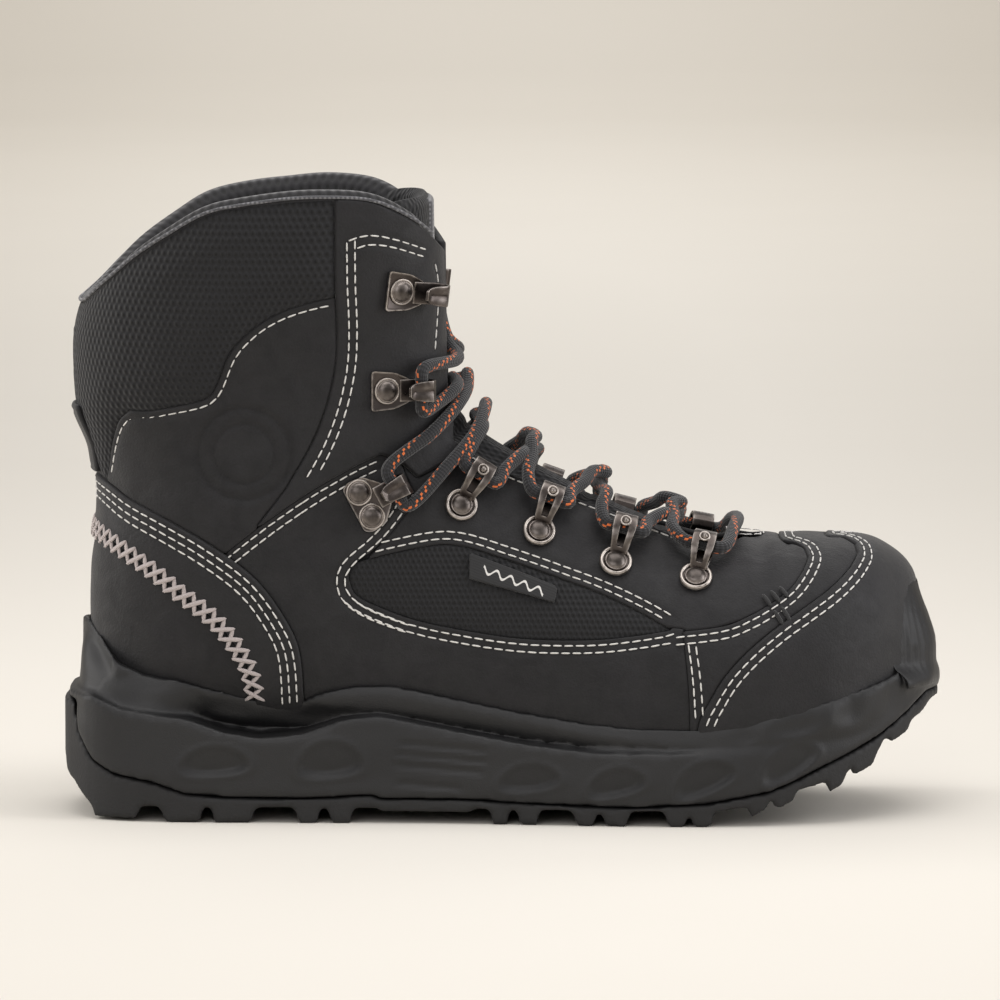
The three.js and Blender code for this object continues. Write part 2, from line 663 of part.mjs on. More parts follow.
function addPlaced(name, solid, frame, look) {
  const mesh = solid.getMesh();
  const geometry = new THREE.BufferGeometry();
  geometry.setAttribute('position', new THREE.Float32BufferAttribute(mesh.vertProperties, 3));
  geometry.setIndex(new THREE.Uint32BufferAttribute(mesh.triVerts, 1));
  geometry.applyMatrix4(frame);
  return addGeometry(name, geometry, look);
}

function addRivet(name, frame, x, y) {
  const head = metalThickness + 0.25;
  const profile = [
    [0, 0.2], [rivetShaft, 0.2], [rivetShaft, head], [rivetRadius, head],
    [rivetRadius * 0.8, head + 1.2], [0, head + 1.6],
  ].map(([radius, height]) => new THREE.Vector2(radius, height));
  const geometry = new THREE.LatheGeometry(profile, 8);
  geometry.rotateX(Math.PI / 2);
  geometry.translate(x, y, 0);
  addGeometry(name, rounded(geometry, frame), gunmetalLook);
}

const roofIn = metalThickness + laceHoleHeight;
const roofOut = roofIn + metalThickness;
const loopDisc = [];
for (let step = 0; step < 10; step += 1) {
  const turn = (2 * Math.PI * step) / 10;
  loopDisc.push([5.9 * Math.cos(turn), 5.9 * Math.sin(turn)]);
}
const loopStrip = bentStrip(
  [
    [4.4, 0], [17, 0], [18, 1.4], [17.8, roofOut * 0.62], [16.4, roofOut * 0.9],
    [14.4, roofOut], [11.2, roofOut], [8.2, roofOut * 0.86], [5.6, roofOut * 0.5], [4.4, 1.2],
  ],
  [
    [6.4, metalThickness], [16.4, metalThickness], [16.8, roofIn * 0.6], [15.8, roofIn * 0.88],
    [14.2, roofIn], [11.4, roofIn], [9, roofIn * 0.84], [6.8, roofIn * 0.5],
  ],
  8,
);
const loopSlot = new THREE.BoxGeometry(5.4, 2.6, 8);
loopSlot.translate(10.2, 0, roofOut);
const loopSolid = plateShape(loopDisc, [[0, 0]]).add(loopStrip).subtract(solidFrom(loopSlot));
const loopThread = { reach: 12.4, height: metalThickness + laceHoleHeight / 2, half: 6.4 };

const hookStrip = bentStrip(
  [
    [6, 0], [13.2, 0], [15.6, 1.1], [16.8, roofOut / 2], [15.6, roofOut - 1.1],
    [13.2, roofOut], [8.4, roofOut], [6.6, roofOut + 0.9], [6, roofOut], [7.8, roofIn],
    [12.8, roofIn], [14.7, roofIn - 0.9], [15.6, roofOut / 2], [14.7, metalThickness + 0.9],
    [12.8, metalThickness], [6, metalThickness],
  ],
  [],
  7.8,
);
const speedPlate = [[-5.6, -7], [3, -6.4], [8.6, -3.9], [8.6, 3.9], [3, 6.4], [-5.6, 7]];
const speedSolid = plateShape(speedPlate, [[0, 0]]).add(hookStrip);
const lockPlate = [
  [-4.6, -8], [-2, -9.6], [3.4, -9], [8.6, -3.9], [8.6, 3.9], [3.4, 9], [-2, 9.6], [-4.6, 8],
];
const lockSolid = plateShape(lockPlate, [[0, -4.8], [0, 4.8]]).add(hookStrip);
const hookThread = { reach: 12.1, height: metalThickness + laceHoleHeight / 2, half: 7 };

// Lacing stations from the lowest loop to the top hook: x, z and direction in the side view.
const stations = [
  { name: 'loop_eyelet_1', at: [67.6, 85.6], turn: 72, lift: 0.35, kind: 'loop' },
  { name: 'loop_eyelet_2', at: [39.4, 91], turn: 74, lift: 0.35, kind: 'loop' },
  { name: 'loop_eyelet_3', at: [12.4, 101.6], turn: 70, lift: 0.35, kind: 'loop' },
  { name: 'loop_eyelet_4', at: [-15, 111], turn: 58, lift: 0.35, kind: 'loop' },
  { name: 'lock_hook', at: [-48.6, 112], turn: 28, lift: 0.7, kind: 'lock' },
  { name: 'speed_hook_1', at: [-41.6, 152], turn: 0, lift: 1.7, kind: 'speed' },
  { name: 'speed_hook_2', at: [-36.8, 187], turn: -6, lift: 1.7, kind: 'speed' },
];
const sideNames = { '-1': 'outer', 1: 'inner' };
const threads = { '-1': [], 1: [] };
const upBack = new THREE.Vector3(-0.5, 0, 0.87);
for (const station of stations) {
  for (const side of [-1, 1]) {
    const frame = frameAt(...station.at, station.turn, side, station.lift);
    const name = `${station.name}_${sideNames[side]}`;
    const solids = { loop: loopSolid, lock: lockSolid, speed: speedSolid };
    addPlaced(name, solids[station.kind], frame, gunmetalLook);
    if (station.kind === 'lock') {
      addRivet(`rivet_${name}_a`, frame, 0, -4.8);
      addRivet(`rivet_${name}_b`, frame, 0, 4.8);
    } else {
      addRivet(`rivet_${name}`, frame, 0, 0);
    }
    const thread = station.kind === 'loop' ? loopThread : hookThread;
    const across = new THREE.Vector3().setFromMatrixColumn(frame, 1);
    const up = Math.sign(across.dot(upBack));
    threads[side].push([thread.half * up, 0, -thread.half * up].map(
      (y) => new THREE.Vector3(thread.reach, y, thread.height).applyMatrix4(frame),
    ));
  }
}

// How far along the throat a point is, from the toe up to the collar.
const climb = new THREE.Vector3(-0.5, 0, 0.87);

// The point over the front of the upper that lies straight out from the given one, at the
// given distance from the upper's outside.
function restOn(point, rise) {
  let low = 2;
  let high = lastSection;
  let angle = Math.PI;
  for (let round = 0; round < 40; round += 1) {
    const half = (low + high) / 2;
    const section = sectionAt(half);
    const share = Math.min(0.97, Math.abs(point.y - section[5]) / section[4]);
    const turn = Math.asin(Math.pow(share, section[7] / 2));
    angle = Math.PI + (point.y > section[5] ? turn : -turn);
    if (surfacePoint(half, angle).dot(climb) < point.dot(climb)) {
      low = half;
    } else {
      high = half;
    }
  }
  return surfacePoint(low, angle).addScaledVector(surfaceNormal(low, angle), rise);
}

// The lace, from one end in the throat down one zigzag, across the lowest loops and up the
// other zigzag. Where two lengths cross, the second passes over the first.
const laceRadius = laceDiameter / 2;
const lowRise = laceRadius - 1.6;
const highRise = lowRise + laceDiameter + 0.8;
const edgeRise = laceRadius + 2.1;
const endRise = laceRadius - 2.3;
const crossings = [[60, 102], [34, 114], [9, 127], [-9.4, 140], [-18.6, 153]];
const lacePoints = [];
function throatPoint(x, y, z, rise) {
  return restOn(new THREE.Vector3(x * alongRatio, y * acrossRatio, z * heightRatio), rise);
}
function strandTo(from, to, rise) {
  const points = [];
  for (const share of [0.3, 0.55, 0.8]) {
    const chord = from.clone().lerp(to, share);
    const near = ramp(Math.abs(chord.y), 3, 14);
    points.push(restOn(chord, rise + (edgeRise - rise) * near));
  }
  return points;
}
function crossOver(from, to, level, rise) {
  const [x, z] = crossings[level];
  const middle = throatPoint(x, 0, z, rise);
  return [...strandTo(from, middle, rise), middle, ...strandTo(to, middle, rise).reverse()];
}
lacePoints.push(
  throatPoint(-20, -6, 186, endRise - 2.4),
  throatPoint(-20, -6, 176, endRise - 2.2),
);
lacePoints.push(
  throatPoint(-20, -8, 167, endRise),
  throatPoint(-22, -16, 161, edgeRise + 0.6),
);
let strand = -1;
for (let level = 5; level >= 0; level -= 1) {
  const thread = threads[strand][level];
  lacePoints.push(...thread);
  if (level > 0) {
    const next = threads[-strand][level - 1][0];
    lacePoints.push(...crossOver(thread[2], next, level - 1, lowRise));
    strand = -strand;
  }
}
lacePoints.push(throatPoint(79, strand * 14, 96, edgeRise), throatPoint(80, 0, 97, edgeRise));
lacePoints.push(throatPoint(79, -strand * 14, 96, edgeRise));
strand = -strand;
for (let level = 0; level <= 5; level += 1) {
  const thread = [...threads[strand][level]].reverse();
  lacePoints.push(...thread);
  if (level < 5) {
    const next = threads[-strand][level + 1][2];
    lacePoints.push(...crossOver(thread[2], next, level, highRise));
    strand = -strand;
  }
}
lacePoints.push(
  throatPoint(-22, 16, 161, edgeRise + 0.6),
  throatPoint(-20, 8, 167, endRise),
);
lacePoints.push(
  throatPoint(-20, 6, 176, endRise - 2.2),
  throatPoint(-20, 6, 184, endRise - 2.4),
);
const laceSection = new THREE.Shape();
for (let step = 0; step < 5; step += 1) {
  const turn = (2 * Math.PI * step) / 5;
  const place = [laceRadius * Math.cos(turn), laceRadius * Math.sin(turn)];
  if (step === 0) {
    laceSection.moveTo(...place);
  } else {
    laceSection.lineTo(...place);
  }
}
const laceGeometry = new THREE.ExtrudeGeometry(laceSection, {
  steps: 156,
  bevelEnabled: false,
  extrudePath: new THREE.CatmullRomCurve3(lacePoints),
});
addSolid('lace', solidFrom(laceGeometry), laceLook);

// Piping along the collar's top edge.
const pipingRadius = 1.6;
const pipingPoints = [];
function pipingPoint(index, side) {
  const [x, z] = collarLine[index];
  const [nextX, nextZ] = collarLine[index + 1];
  const [lastX, lastZ] = collarLine[index - 1];
  const slope = new THREE.Vector3(nextX - lastX, 0, nextZ - lastZ).normalize();
  const spot = locate(x, z, side);
  const point = surfacePoint(spot.position, spot.angle);
  point.addScaledVector(surfaceNormal(spot.position, spot.angle), -2.6);
  const above = pipingRadius + 1.6;
  return point.add(new THREE.Vector3(-slope.z * above, 0, slope.x * above));
}
for (let index = collarLine.length - 2; index >= 2; index -= 1) {
  pipingPoints.push(pipingPoint(index, -1));
}
pipingPoints.push(pipingPoint(1, -1).setY(0).add(new THREE.Vector3(-0.8, 0, 1.2)));
for (let index = 2; index <= collarLine.length - 2; index += 1) {
  pipingPoints.push(pipingPoint(index, 1));
}
const pipingSection = new THREE.Shape();
for (let step = 0; step < 5; step += 1) {
  const turn = (2 * Math.PI * step) / 5;
  const place = [pipingRadius * Math.cos(turn), pipingRadius * Math.sin(turn)];
  if (step === 0) {
    pipingSection.moveTo(...place);
  } else {
    pipingSection.lineTo(...place);
  }
}
const pipingGeometry = new THREE.ExtrudeGeometry(pipingSection, {
  steps: 42,
  bevelEnabled: false,
  extrudePath: new THREE.CatmullRomCurve3(pipingPoints),
});
addSolid('collar_piping', solidFrom(pipingGeometry), pipingLook);

export default group;
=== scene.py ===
import bpy
import math
import numpy as np
from mathutils import Matrix, Vector, noise
from mathutils.kdtree import KDTree


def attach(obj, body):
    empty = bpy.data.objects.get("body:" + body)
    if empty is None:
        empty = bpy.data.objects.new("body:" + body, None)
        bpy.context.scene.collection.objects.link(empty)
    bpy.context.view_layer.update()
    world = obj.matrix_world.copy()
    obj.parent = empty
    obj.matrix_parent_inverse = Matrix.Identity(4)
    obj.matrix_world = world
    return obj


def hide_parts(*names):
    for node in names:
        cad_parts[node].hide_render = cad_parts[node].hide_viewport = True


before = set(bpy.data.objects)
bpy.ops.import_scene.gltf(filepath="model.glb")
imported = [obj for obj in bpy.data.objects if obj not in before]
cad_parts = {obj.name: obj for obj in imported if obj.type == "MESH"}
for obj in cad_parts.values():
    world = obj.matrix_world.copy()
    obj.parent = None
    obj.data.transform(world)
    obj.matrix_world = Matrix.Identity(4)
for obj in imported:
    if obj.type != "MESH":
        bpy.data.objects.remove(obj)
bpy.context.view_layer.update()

mm = 0.001

shot = {"aim": (-1.2, -40, 113.6), "distance": 3500, "elevation": 6.0, "widthSeen": 351.0}


def placeCamera():
    data = bpy.data.cameras.new("camera")
    data.sensor_width = 36.0
    data.lens = 36.0 * shot["distance"] / shot["widthSeen"]
    data.clip_end = 20
    camera = bpy.data.objects.new("camera", data)
    bpy.context.collection.objects.link(camera)
    tilt = math.radians(shot["elevation"])
    aim = Vector(shot["aim"]) * mm
    away = Vector((0, -math.cos(tilt), math.sin(tilt))) * shot["distance"] * mm
    camera.location = aim + away
    camera.rotation_euler = (math.pi / 2 - tilt, 0, 0)
    bpy.context.scene.camera = camera


placeCamera()


def ramp(value, start, end):
    share = np.clip((value - start) / (end - start), 0.0, 1.0)
    return share * share * (3 - 2 * share)


def hermite(t, start, end, slopeIn, slopeOut):
    return ((2 * t ** 3 - 3 * t ** 2 + 1) * start + (t ** 3 - 2 * t ** 2 + t) * slopeIn
            + (3 * t ** 2 - 2 * t ** 3) * end + (t ** 3 - t ** 2) * slopeOut)


def runLengths(points):
    # distance along a line at each of its points
    return np.concatenate([[0], np.cumsum(np.linalg.norm(np.diff(points, axis=0), axis=1))])


def pointTree(points):
    tree = KDTree(len(points))
    for i, point in enumerate(points):
        tree.insert(point, i)
    tree.balance()
    return tree


def signedGap(x, y, line, limit):
    # distance inside (+) or outside (-) a closed line, never more than the limit
    inside = np.zeros(len(x), bool)
    best = np.full(len(x), limit ** 2)
    for a, b in zip(line, np.roll(line, -1, 0)):
        if a[1] != b[1]:
            spans = (a[1] > y) != (b[1] > y)
            inside ^= spans & (x < (b[0] - a[0]) * (y - a[1]) / (b[1] - a[1]) + a[0])
        edge = b - a
        size = max(edge.dot(edge), 1e-12)
        t = np.clip(((x - a[0]) * edge[0] + (y - a[1]) * edge[1]) / size, 0, 1)
        best = np.minimum(best, (x - a[0] - t * edge[0]) ** 2 + (y - a[1] - t * edge[1]) ** 2)
    return np.where(inside, 1, -1) * np.sqrt(best)


def deselectAll():
    for obj in list(bpy.context.selected_objects):
        obj.select_set(False)
    bpy.context.view_layer.objects.active = None


def makeActive(obj):
    deselectAll()
    obj.select_set(True)
    bpy.context.view_layer.objects.active = obj


def faceOutwards(obj):
    makeActive(obj)
    bpy.ops.object.mode_set(mode="EDIT")
    bpy.ops.mesh.select_all(action="SELECT")
    bpy.ops.mesh.normals_make_consistent(inside=False)
    bpy.ops.object.mode_set(mode="OBJECT")


def meshPiece(name, points, faces, smooth=True):
    # points in mm, one new object at the origin
    mesh = bpy.data.meshes.new(name)
    mesh.from_pydata((np.asarray(points) * mm).tolist(), [], faces)
    mesh.validate()
    obj = bpy.data.objects.new(name, mesh)
    bpy.context.collection.objects.link(obj)
    if smooth:
        mesh.polygons.foreach_set("use_smooth", [True] * len(mesh.polygons))
    mesh.update()
    return obj


def finishPiece(obj, body, material, slot, *stands):
    obj.data.materials.clear()
    obj.data.materials.append(material)
    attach(obj, body)
    if stands:
        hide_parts(*stands)
    return obj


def setUv(obj, uvOfVertex):
    # one UV pair per vertex, spread to the corners
    layer = obj.data.uv_layers.new(name="weave")
    corner = np.zeros(len(obj.data.loops), np.int32)
    obj.data.loops.foreach_get("vertex_index", corner)
    layer.data.foreach_set("uv", np.asarray(uvOfVertex)[corner].ravel())


def colour(code):
    # sRGB hex to linear
    parts = [int(code[i:i + 2], 16) / 255 for i in (1, 3, 5)]
    return tuple(p / 12.92 if p <= 0.04045 else ((p + 0.055) / 1.055) ** 2.4 for p in parts) + (1,)


def newMaterial(name):
    material = bpy.data.materials.new(name)
    material.use_nodes = True
    tree = material.node_tree
    tree.nodes.clear()
    shader = tree.nodes.new("ShaderNodeBsdfPrincipled")
    output = tree.nodes.new("ShaderNodeOutputMaterial")
    tree.links.new(shader.outputs["BSDF"], output.inputs["Surface"])
    return material, tree, shader


def setInputs(tree, node, inputs):
    # numbers and colours are set, nodes and sockets are linked
    for key, value in inputs.items():
        if isinstance(value, (int, float, tuple)):
            node.inputs[key].default_value = value
        else:
            tree.links.new(value.outputs[0] if isinstance(value, bpy.types.Node) else value,
                           node.inputs[key])


def addNode(tree, kind, inputs=None, stops=(), **settings):
    # a node with its settings and its inputs, and the two stops of a colour ramp
    node = tree.nodes.new("ShaderNode" + kind)
    for key, value in settings.items():
        setattr(node, key, value)
    setInputs(tree, node, inputs or {})
    for n, (place, code) in enumerate(stops):
        node.color_ramp.elements[n].position = place
        node.color_ramp.elements[n].color = colour(code)
    return node


def perMm(size):
    # pattern scale for a feature of this size, on coordinates in metres
    return 1000.0 / size


def leatherMaterial(name, deep, light, rough, grain):
    # waxed nubuck, buffed and oiled: soft black with fine grain and paler scuffs spread by a slow noise
    material, tree, shader = newMaterial(name)
    place = addNode(tree, "TexCoord").outputs["Object"]
    cloud = addNode(tree, "TexNoise", {"Vector": place, "Scale": perMm(26), "Detail": 5,
                    "Roughness": 0.6})
    pores = addNode(tree, "TexVoronoi", {"Vector": place, "Scale": perMm(0.9)})
    fine = addNode(tree, "TexNoise", {"Vector": place, "Scale": perMm(0.7), "Detail": 4,
                   "Roughness": 0.7})
    creases = addNode(tree, "TexNoise", {"Vector": place, "Scale": perMm(9), "Detail": 6,
                      "Roughness": 0.62, "Distortion": 0.6})
    tint = addNode(tree, "ValToRGB", {"Fac": cloud.outputs["Fac"]}, [(0.32, deep), (0.72, light)])
    speck = addNode(tree, "ValToRGB", {"Fac": fine.outputs["Fac"]}, [(0.3, "#8c8a8c"), (0.62,
                    "#ffffff")])
    mixed = addNode(tree, "Mix", {0: 1.0, 6: tint, 7: speck}, data_type="RGBA", blend_type="MULTIPLY")
    dull = addNode(tree, "MapRange", {"Value": creases.outputs["Fac"], "From Min": 0.3, "From Max": 0.7,
                   "To Min": rough - 0.07, "To Max": rough + 0.1})
    low = addNode(tree, "Bump", {"Height": creases.outputs["Fac"], "Strength": 0.35,
                  "Distance": 0.0009})
    mid = addNode(tree, "Bump", {"Height": pores.outputs["Distance"], "Normal": low,
                  "Strength": 0.25 * grain, "Distance": 0.00025})
    top = addNode(tree, "Bump", {"Height": fine.outputs["Fac"], "Normal": mid, "Strength": 0.4 * grain,
                  "Distance": 0.0003})
    setInputs(tree, shader, {"Base Color": mixed.outputs[2], "Roughness": dull, "Normal": top,
                             "Specular IOR Level": 0.42, "IOR": 1.5, "Sheen Weight": 0.12,
                             "Sheen Roughness": 0.5})
    return material


def hexMeshMaterial(name, yarn, holeShade, pitch, stretch, depth, sheen=0.1):
    # warp-knitted polyester air mesh: staggered open cells between matt yarns, the cells painted nearly
    # black as painted shade
    material, tree, shader = newMaterial(name)
    uv = addNode(tree, "UVMap", uv_map="weave").outputs["UV"]
    split = addNode(tree, "SeparateXYZ", {"Vector": uv})
    waves = []
    turn = 2 * math.pi * perMm(pitch)
    for across, up in ((1.0, 0.58 * stretch), (-1.0, 0.58 * stretch), (0.0, 1.16 * stretch)):
        side = addNode(tree, "Math", {0: split.outputs["X"], 1: across * turn}, operation="MULTIPLY")
        both = addNode(tree, "Math", {0: split.outputs["Y"], 2: side, 1: up * turn},
                       operation="MULTIPLY_ADD")
        waves.append(addNode(tree, "Math", {0: both}, operation="COSINE"))
    pair = addNode(tree, "Math", {0: waves[0], 1: waves[1]}, operation="ADD")
    total = addNode(tree, "Math", {0: pair, 1: waves[2]}, operation="ADD")
    cells = addNode(tree, "MapRange", {"Value": total, "From Min": -1.5, "From Max": 3.0, "To Min": 1.0,
                    "To Max": 0.0})
    fuzz = addNode(tree, "TexNoise", {"Vector": addNode(tree, "TexCoord").outputs["Object"],
                   "Scale": perMm(0.5), "Detail": 3})
    # painted shade: the open cells take the nearly black colour
    tint = addNode(tree, "ValToRGB", {"Fac": cells}, [(0.25, holeShade), (0.62, yarn)])
    body = addNode(tree, "Bump", {"Height": cells, "Strength": 0.9, "Distance": depth})
    hair = addNode(tree, "Bump", {"Height": fuzz.outputs["Fac"], "Normal": body, "Strength": 0.3,
                   "Distance": 0.0002})
    setInputs(tree, shader, {"Base Color": tint, "Normal": hair, "Roughness": 0.85,
                             "Sheen Weight": sheen})
    return material


def rubberMaterial(name, base, light, rough, grainSize, grain):
    # compression moulded rubber: satin black with a fine spark-eroded grain and a dusty variation
    material, tree, shader = newMaterial(name)
    place = addNode(tree, "TexCoord").outputs["Object"]
    cloud = addNode(tree, "TexNoise", {"Vector": place, "Scale": perMm(30), "Detail": 4})
    fine = addNode(tree, "TexNoise", {"Vector": place, "Scale": perMm(grainSize), "Detail": 3,
                   "Roughness": 0.6})
    tint = addNode(tree, "ValToRGB", {"Fac": cloud.outputs["Fac"]}, [(0.35, base), (0.75, light)])
    dull = addNode(tree, "MapRange", {"Value": cloud.outputs["Fac"], "From Min": 0.3, "From Max": 0.7,
                   "To Min": rough - 0.05, "To Max": rough + 0.08})
    bump = addNode(tree, "Bump", {"Height": fine.outputs["Fac"], "Strength": grain, "Distance": 0.0003})
    setInputs(tree, shader, {"Base Color": tint, "Roughness": dull, "Normal": bump, "IOR": 1.52})
    return material


def metalMaterial(name, base, worn, rough):
    # black-nickel plated steel, tumbled: brown-grey mirror with paler rubbed edges
    material, tree, shader = newMaterial(name)
    place = addNode(tree, "TexCoord").outputs["Object"]
    edge = addNode(tree, "NewGeometry").outputs["Pointiness"]
    scuff = addNode(tree, "TexNoise", {"Vector": place, "Scale": perMm(2.2), "Detail": 5})
    rub = addNode(tree, "MapRange", {"Value": edge, "From Min": 0.5, "From Max": 0.56, "To Min": 0.0,
                  "To Max": 1.0})
    share = addNode(tree, "Math", {0: rub, 1: scuff.outputs["Fac"]}, operation="MULTIPLY")
    tint = addNode(tree, "ValToRGB", {"Fac": share}, [(0.08, base), (0.55, worn)])
    dull = addNode(tree, "MapRange", {"Value": scuff.outputs["Fac"], "From Min": 0.3, "From Max": 0.7,
                   "To Min": rough - 0.06, "To Max": rough + 0.1})
    bump = addNode(tree, "Bump", {"Height": scuff.outputs["Fac"], "Strength": 0.12, "Distance": 0.0001})
    setInputs(tree, shader, {"Base Color": tint, "Roughness": dull, "Normal": bump, "Metallic": 1.0})
    return material


def threadMaterial(name, base, shade, twist):
    # bonded nylon sewing thread: three plies twisted together, slightly fuzzy
    material, tree, shader = newMaterial(name)
    place = addNode(tree, "TexCoord").outputs["Object"]
    ply = addNode(tree, "TexWave", {"Vector": place, "Scale": perMm(twist), "Distortion": 1.5,
                  "Detail": 1}, bands_direction="DIAGONAL")
    tint = addNode(tree, "ValToRGB", {"Fac": ply.outputs["Fac"]}, [(0.15, shade), (0.6, base)])
    bump = addNode(tree, "Bump", {"Height": ply.outputs["Fac"], "Strength": 0.5, "Distance": 0.00015})
    setInputs(tree, shader, {"Base Color": tint, "Normal": bump, "Roughness": 0.7, "Sheen Weight": 0.2})
    return material


def fabricMaterial(name, base, light, pitch, rough=0.9):
    # plain woven polyester: over-under threads, matt
    material, tree, shader = newMaterial(name)
    place = addNode(tree, "TexCoord").outputs["Object"]
    first = addNode(tree, "TexWave", {"Vector": place, "Scale": perMm(pitch) / 6.28},
                    bands_direction="X")
    second = addNode(tree, "TexWave", {"Vector": place, "Scale": perMm(pitch) / 6.28},
                     bands_direction="Z")
    both = addNode(tree, "Math", {0: first.outputs["Fac"], 1: second.outputs["Fac"]},
                   operation="MULTIPLY")
    tint = addNode(tree, "ValToRGB", {"Fac": both}, [(0.1, base), (0.7, light)])
    bump = addNode(tree, "Bump", {"Height": both, "Strength": 0.5, "Distance": 0.0002})
    setInputs(tree, shader, {"Base Color": tint, "Normal": bump, "Roughness": rough,
                             "Sheen Weight": 0.25})
    return material


waxedNubuck = leatherMaterial("waxed_nubuck_leather", "#0a090c", "#151317", 0.64, 1.3)
smoothNubuck = leatherMaterial("smooth_trim_leather", "#0b0a0d", "#171519", 0.6, 1.0)
# the second colour of each mesh is the painted shade in its open cells
airMesh = hexMeshMaterial("air_mesh_fabric", "#121215", "#020203", 2.3, 0.8, 0.0006)
windowMesh = hexMeshMaterial("window_mesh_fabric", "#0f0f12", "#020203", 1.9, 0.8, 0.0006)
liningMesh = hexMeshMaterial("perforated_lining_fabric", "#19181b", "#040405", 3.4, 0.7, 0.0005, 0.3)
satinRubber = rubberMaterial("moulded_midsole_rubber", "#08080a", "#0f0f11", 0.5, 0.6, 0.35)
carbonRubber = rubberMaterial("moulded_outsole_rubber", "#0b0b0c", "#141314", 0.62, 1.1, 0.6)
capRubber = rubberMaterial("soft_cap_edge_rubber", "#1a1a1a", "#262626", 0.6, 0.8, 0.5)
gunmetal = metalMaterial("tumbled_black_nickel", "#4e4845", "#b3aba4", 0.3)
rivetMetal = metalMaterial("domed_black_nickel", "#433e3b", "#8f8782", 0.34)
capSteel = metalMaterial("pressed_cap_steel", "#9da0a3", "#c9cbcd", 0.4)
sewingThread = threadMaterial("bonded_nylon_thread", "#f3f1ec", "#b9b6b1", 0.5)
crossThread = threadMaterial("waxed_cross_thread", "#c9bfbc", "#8d8281", 0.7)
darkThread = threadMaterial("black_bar_tack_thread", "#161617", "#0a0a0b", 0.5)
greyTape = fabricMaterial("woven_binding_tape", "#4c4c4f", "#77777a", 0.8)
footbedCloth = fabricMaterial("brushed_footbed_cloth", "#232326", "#3a3a3e", 1.0)
fibreBoard = fabricMaterial("pressed_fibre_board", "#7d6d52", "#a08e6e", 1.4)
print("materials ready")

# rows from the toe over the instep to the collar: top x and z, bottom x and z, half width,
# middle y, squareness of the lower and upper half, and where the oval is widest
upperRows = np.array([
    [146.4, 68, 146.4, 55, 5, 5, 2.4, 2.2, 0.5], [145.8, 79.5, 146, 40, 16, 5, 2.8, 2.2, 0.46],
    [143.2, 86, 143.8, 35.5, 24.5, 4.5, 3.2, 2.2, 0.43], [137, 91.6, 138, 32, 33.5, 4, 3.6, 2.2, 0.4],
    [128, 95.6, 129, 28.5, 42, 3, 4, 2.3, 0.38], [112, 97, 113, 25, 49, 1, 4.4, 2.3, 0.36],
    [90, 97.8, 91, 22, 52.5, 0, 4.5, 2.2, 0.34], [66, 101.5, 66, 20.5, 52.5, 0, 4.5, 2, 0.33],
    [40, 111, 36, 21.5, 50, 0.5, 4.4, 1.9, 0.33], [14, 124, 2, 25, 46, 1, 4, 1.9, 0.35],
    [-5, 135, -40, 29, 43, 1, 3.6, 2.1, 0.38], [-14.5, 144, -92, 31, 41.5, 0.5, 3.4, 2.4, 0.44],
    [-18.4, 152, -132, 35, 41, 0, 2.9, 2.7, 0.5], [-19.6, 160, -144.5, 56, 41, 0, 2.5, 3, 0.52],
    [-20, 168, -146, 85, 41, 0, 2.3, 3.1, 0.52], [-20.2, 177, -143, 108, 41, 0, 2.3, 3.1, 0.52],
    [-20.4, 186, -144.5, 128, 42, 0, 2.3, 3.1, 0.52], [-20.6, 195, -149, 145, 43.5, 0, 2.3, 3.1, 0.52],
    [-20.8, 204, -150, 163, 45, 0, 2.3, 3.1, 0.52], [-21, 216, -149, 183, 45.5, 0, 2.3, 3.1, 0.52],
    [-21.2, 240, -148, 222, 45.5, 0, 2.3, 3.1, 0.52],
])
lastRow = len(upperRows) - 1


def rowAt(position):
    position = np.asarray(position, float)
    row = np.clip(np.floor(position).astype(int), 0, lastRow - 1)
    t = (position - row)[..., None]
    start, end = upperRows[row], upperRows[row + 1]
    slopeIn = (end - upperRows[np.maximum(row - 1, 0)]) / 2
    slopeOut = (upperRows[np.minimum(row + 2, lastRow)] - start) / 2
    return hermite(t, start, end, slopeIn, slopeOut)


def upperPoint(position, angle):
    row = rowAt(position)
    up, out = -np.cos(angle), np.sin(angle)
    power = 2 / np.where(up < 0, row[..., 6], row[..., 7])
    widest = row[..., 8]
    share = widest + np.where(up < 0, widest, 1 - widest) * np.sign(up) * np.abs(up) ** power
    side = -np.sign(out) * np.abs(out) ** power
    return np.stack([row[..., 2] + (row[..., 0] - row[..., 2]) * share,
                     row[..., 5] + row[..., 4] * side,
                     row[..., 3] + (row[..., 1] - row[..., 3]) * share], -1)


def upperNormal(position, angle):
    step = 0.02
    along = (upperPoint(np.minimum(position + step, lastRow), angle)
             - upperPoint(np.maximum(position - step, 0), angle))
    around = upperPoint(position, angle + step) - upperPoint(position, angle - step)
    normal = np.cross(around, along)
    return normal / np.maximum(np.linalg.norm(normal, axis=-1, keepdims=True), 1e-9)


gridSetup = {"ringStep": 1.15, "pointsPerSide": 165}


def makeGrid():
    positions = []
    for row in range(lastRow):
        a, b = upperRows[row], upperRows[row + 1]
        reach = max(math.hypot(b[0] - a[0], b[1] - a[1]), math.hypot(b[2] - a[2], b[3] - a[3]))
        count = max(3, math.ceil(reach / gridSetup["ringStep"]))
        positions.extend(row + np.arange(count) / count)
    positions.append(lastRow)
    positions = np.array(positions, float)
    n = gridSetup["pointsPerSide"]
    u = np.linspace(0, 1, 900)
    dense = math.pi * (u - np.sin(2 * math.pi * u) / (2 * math.pi) * 0.98)
    angles = np.zeros((len(positions), 2 * n))
    for i, position in enumerate(positions):
        points = upperPoint(np.full(len(dense), position), dense)
        run = runLengths(points)
        half = np.interp(np.linspace(0, run[-1], n + 1), run, dense)
        angles[i] = np.concatenate([half, 2 * math.pi - half[-2:0:-1]])
    spread = np.repeat(positions[:, None], 2 * n, 1)
    return spread, angles


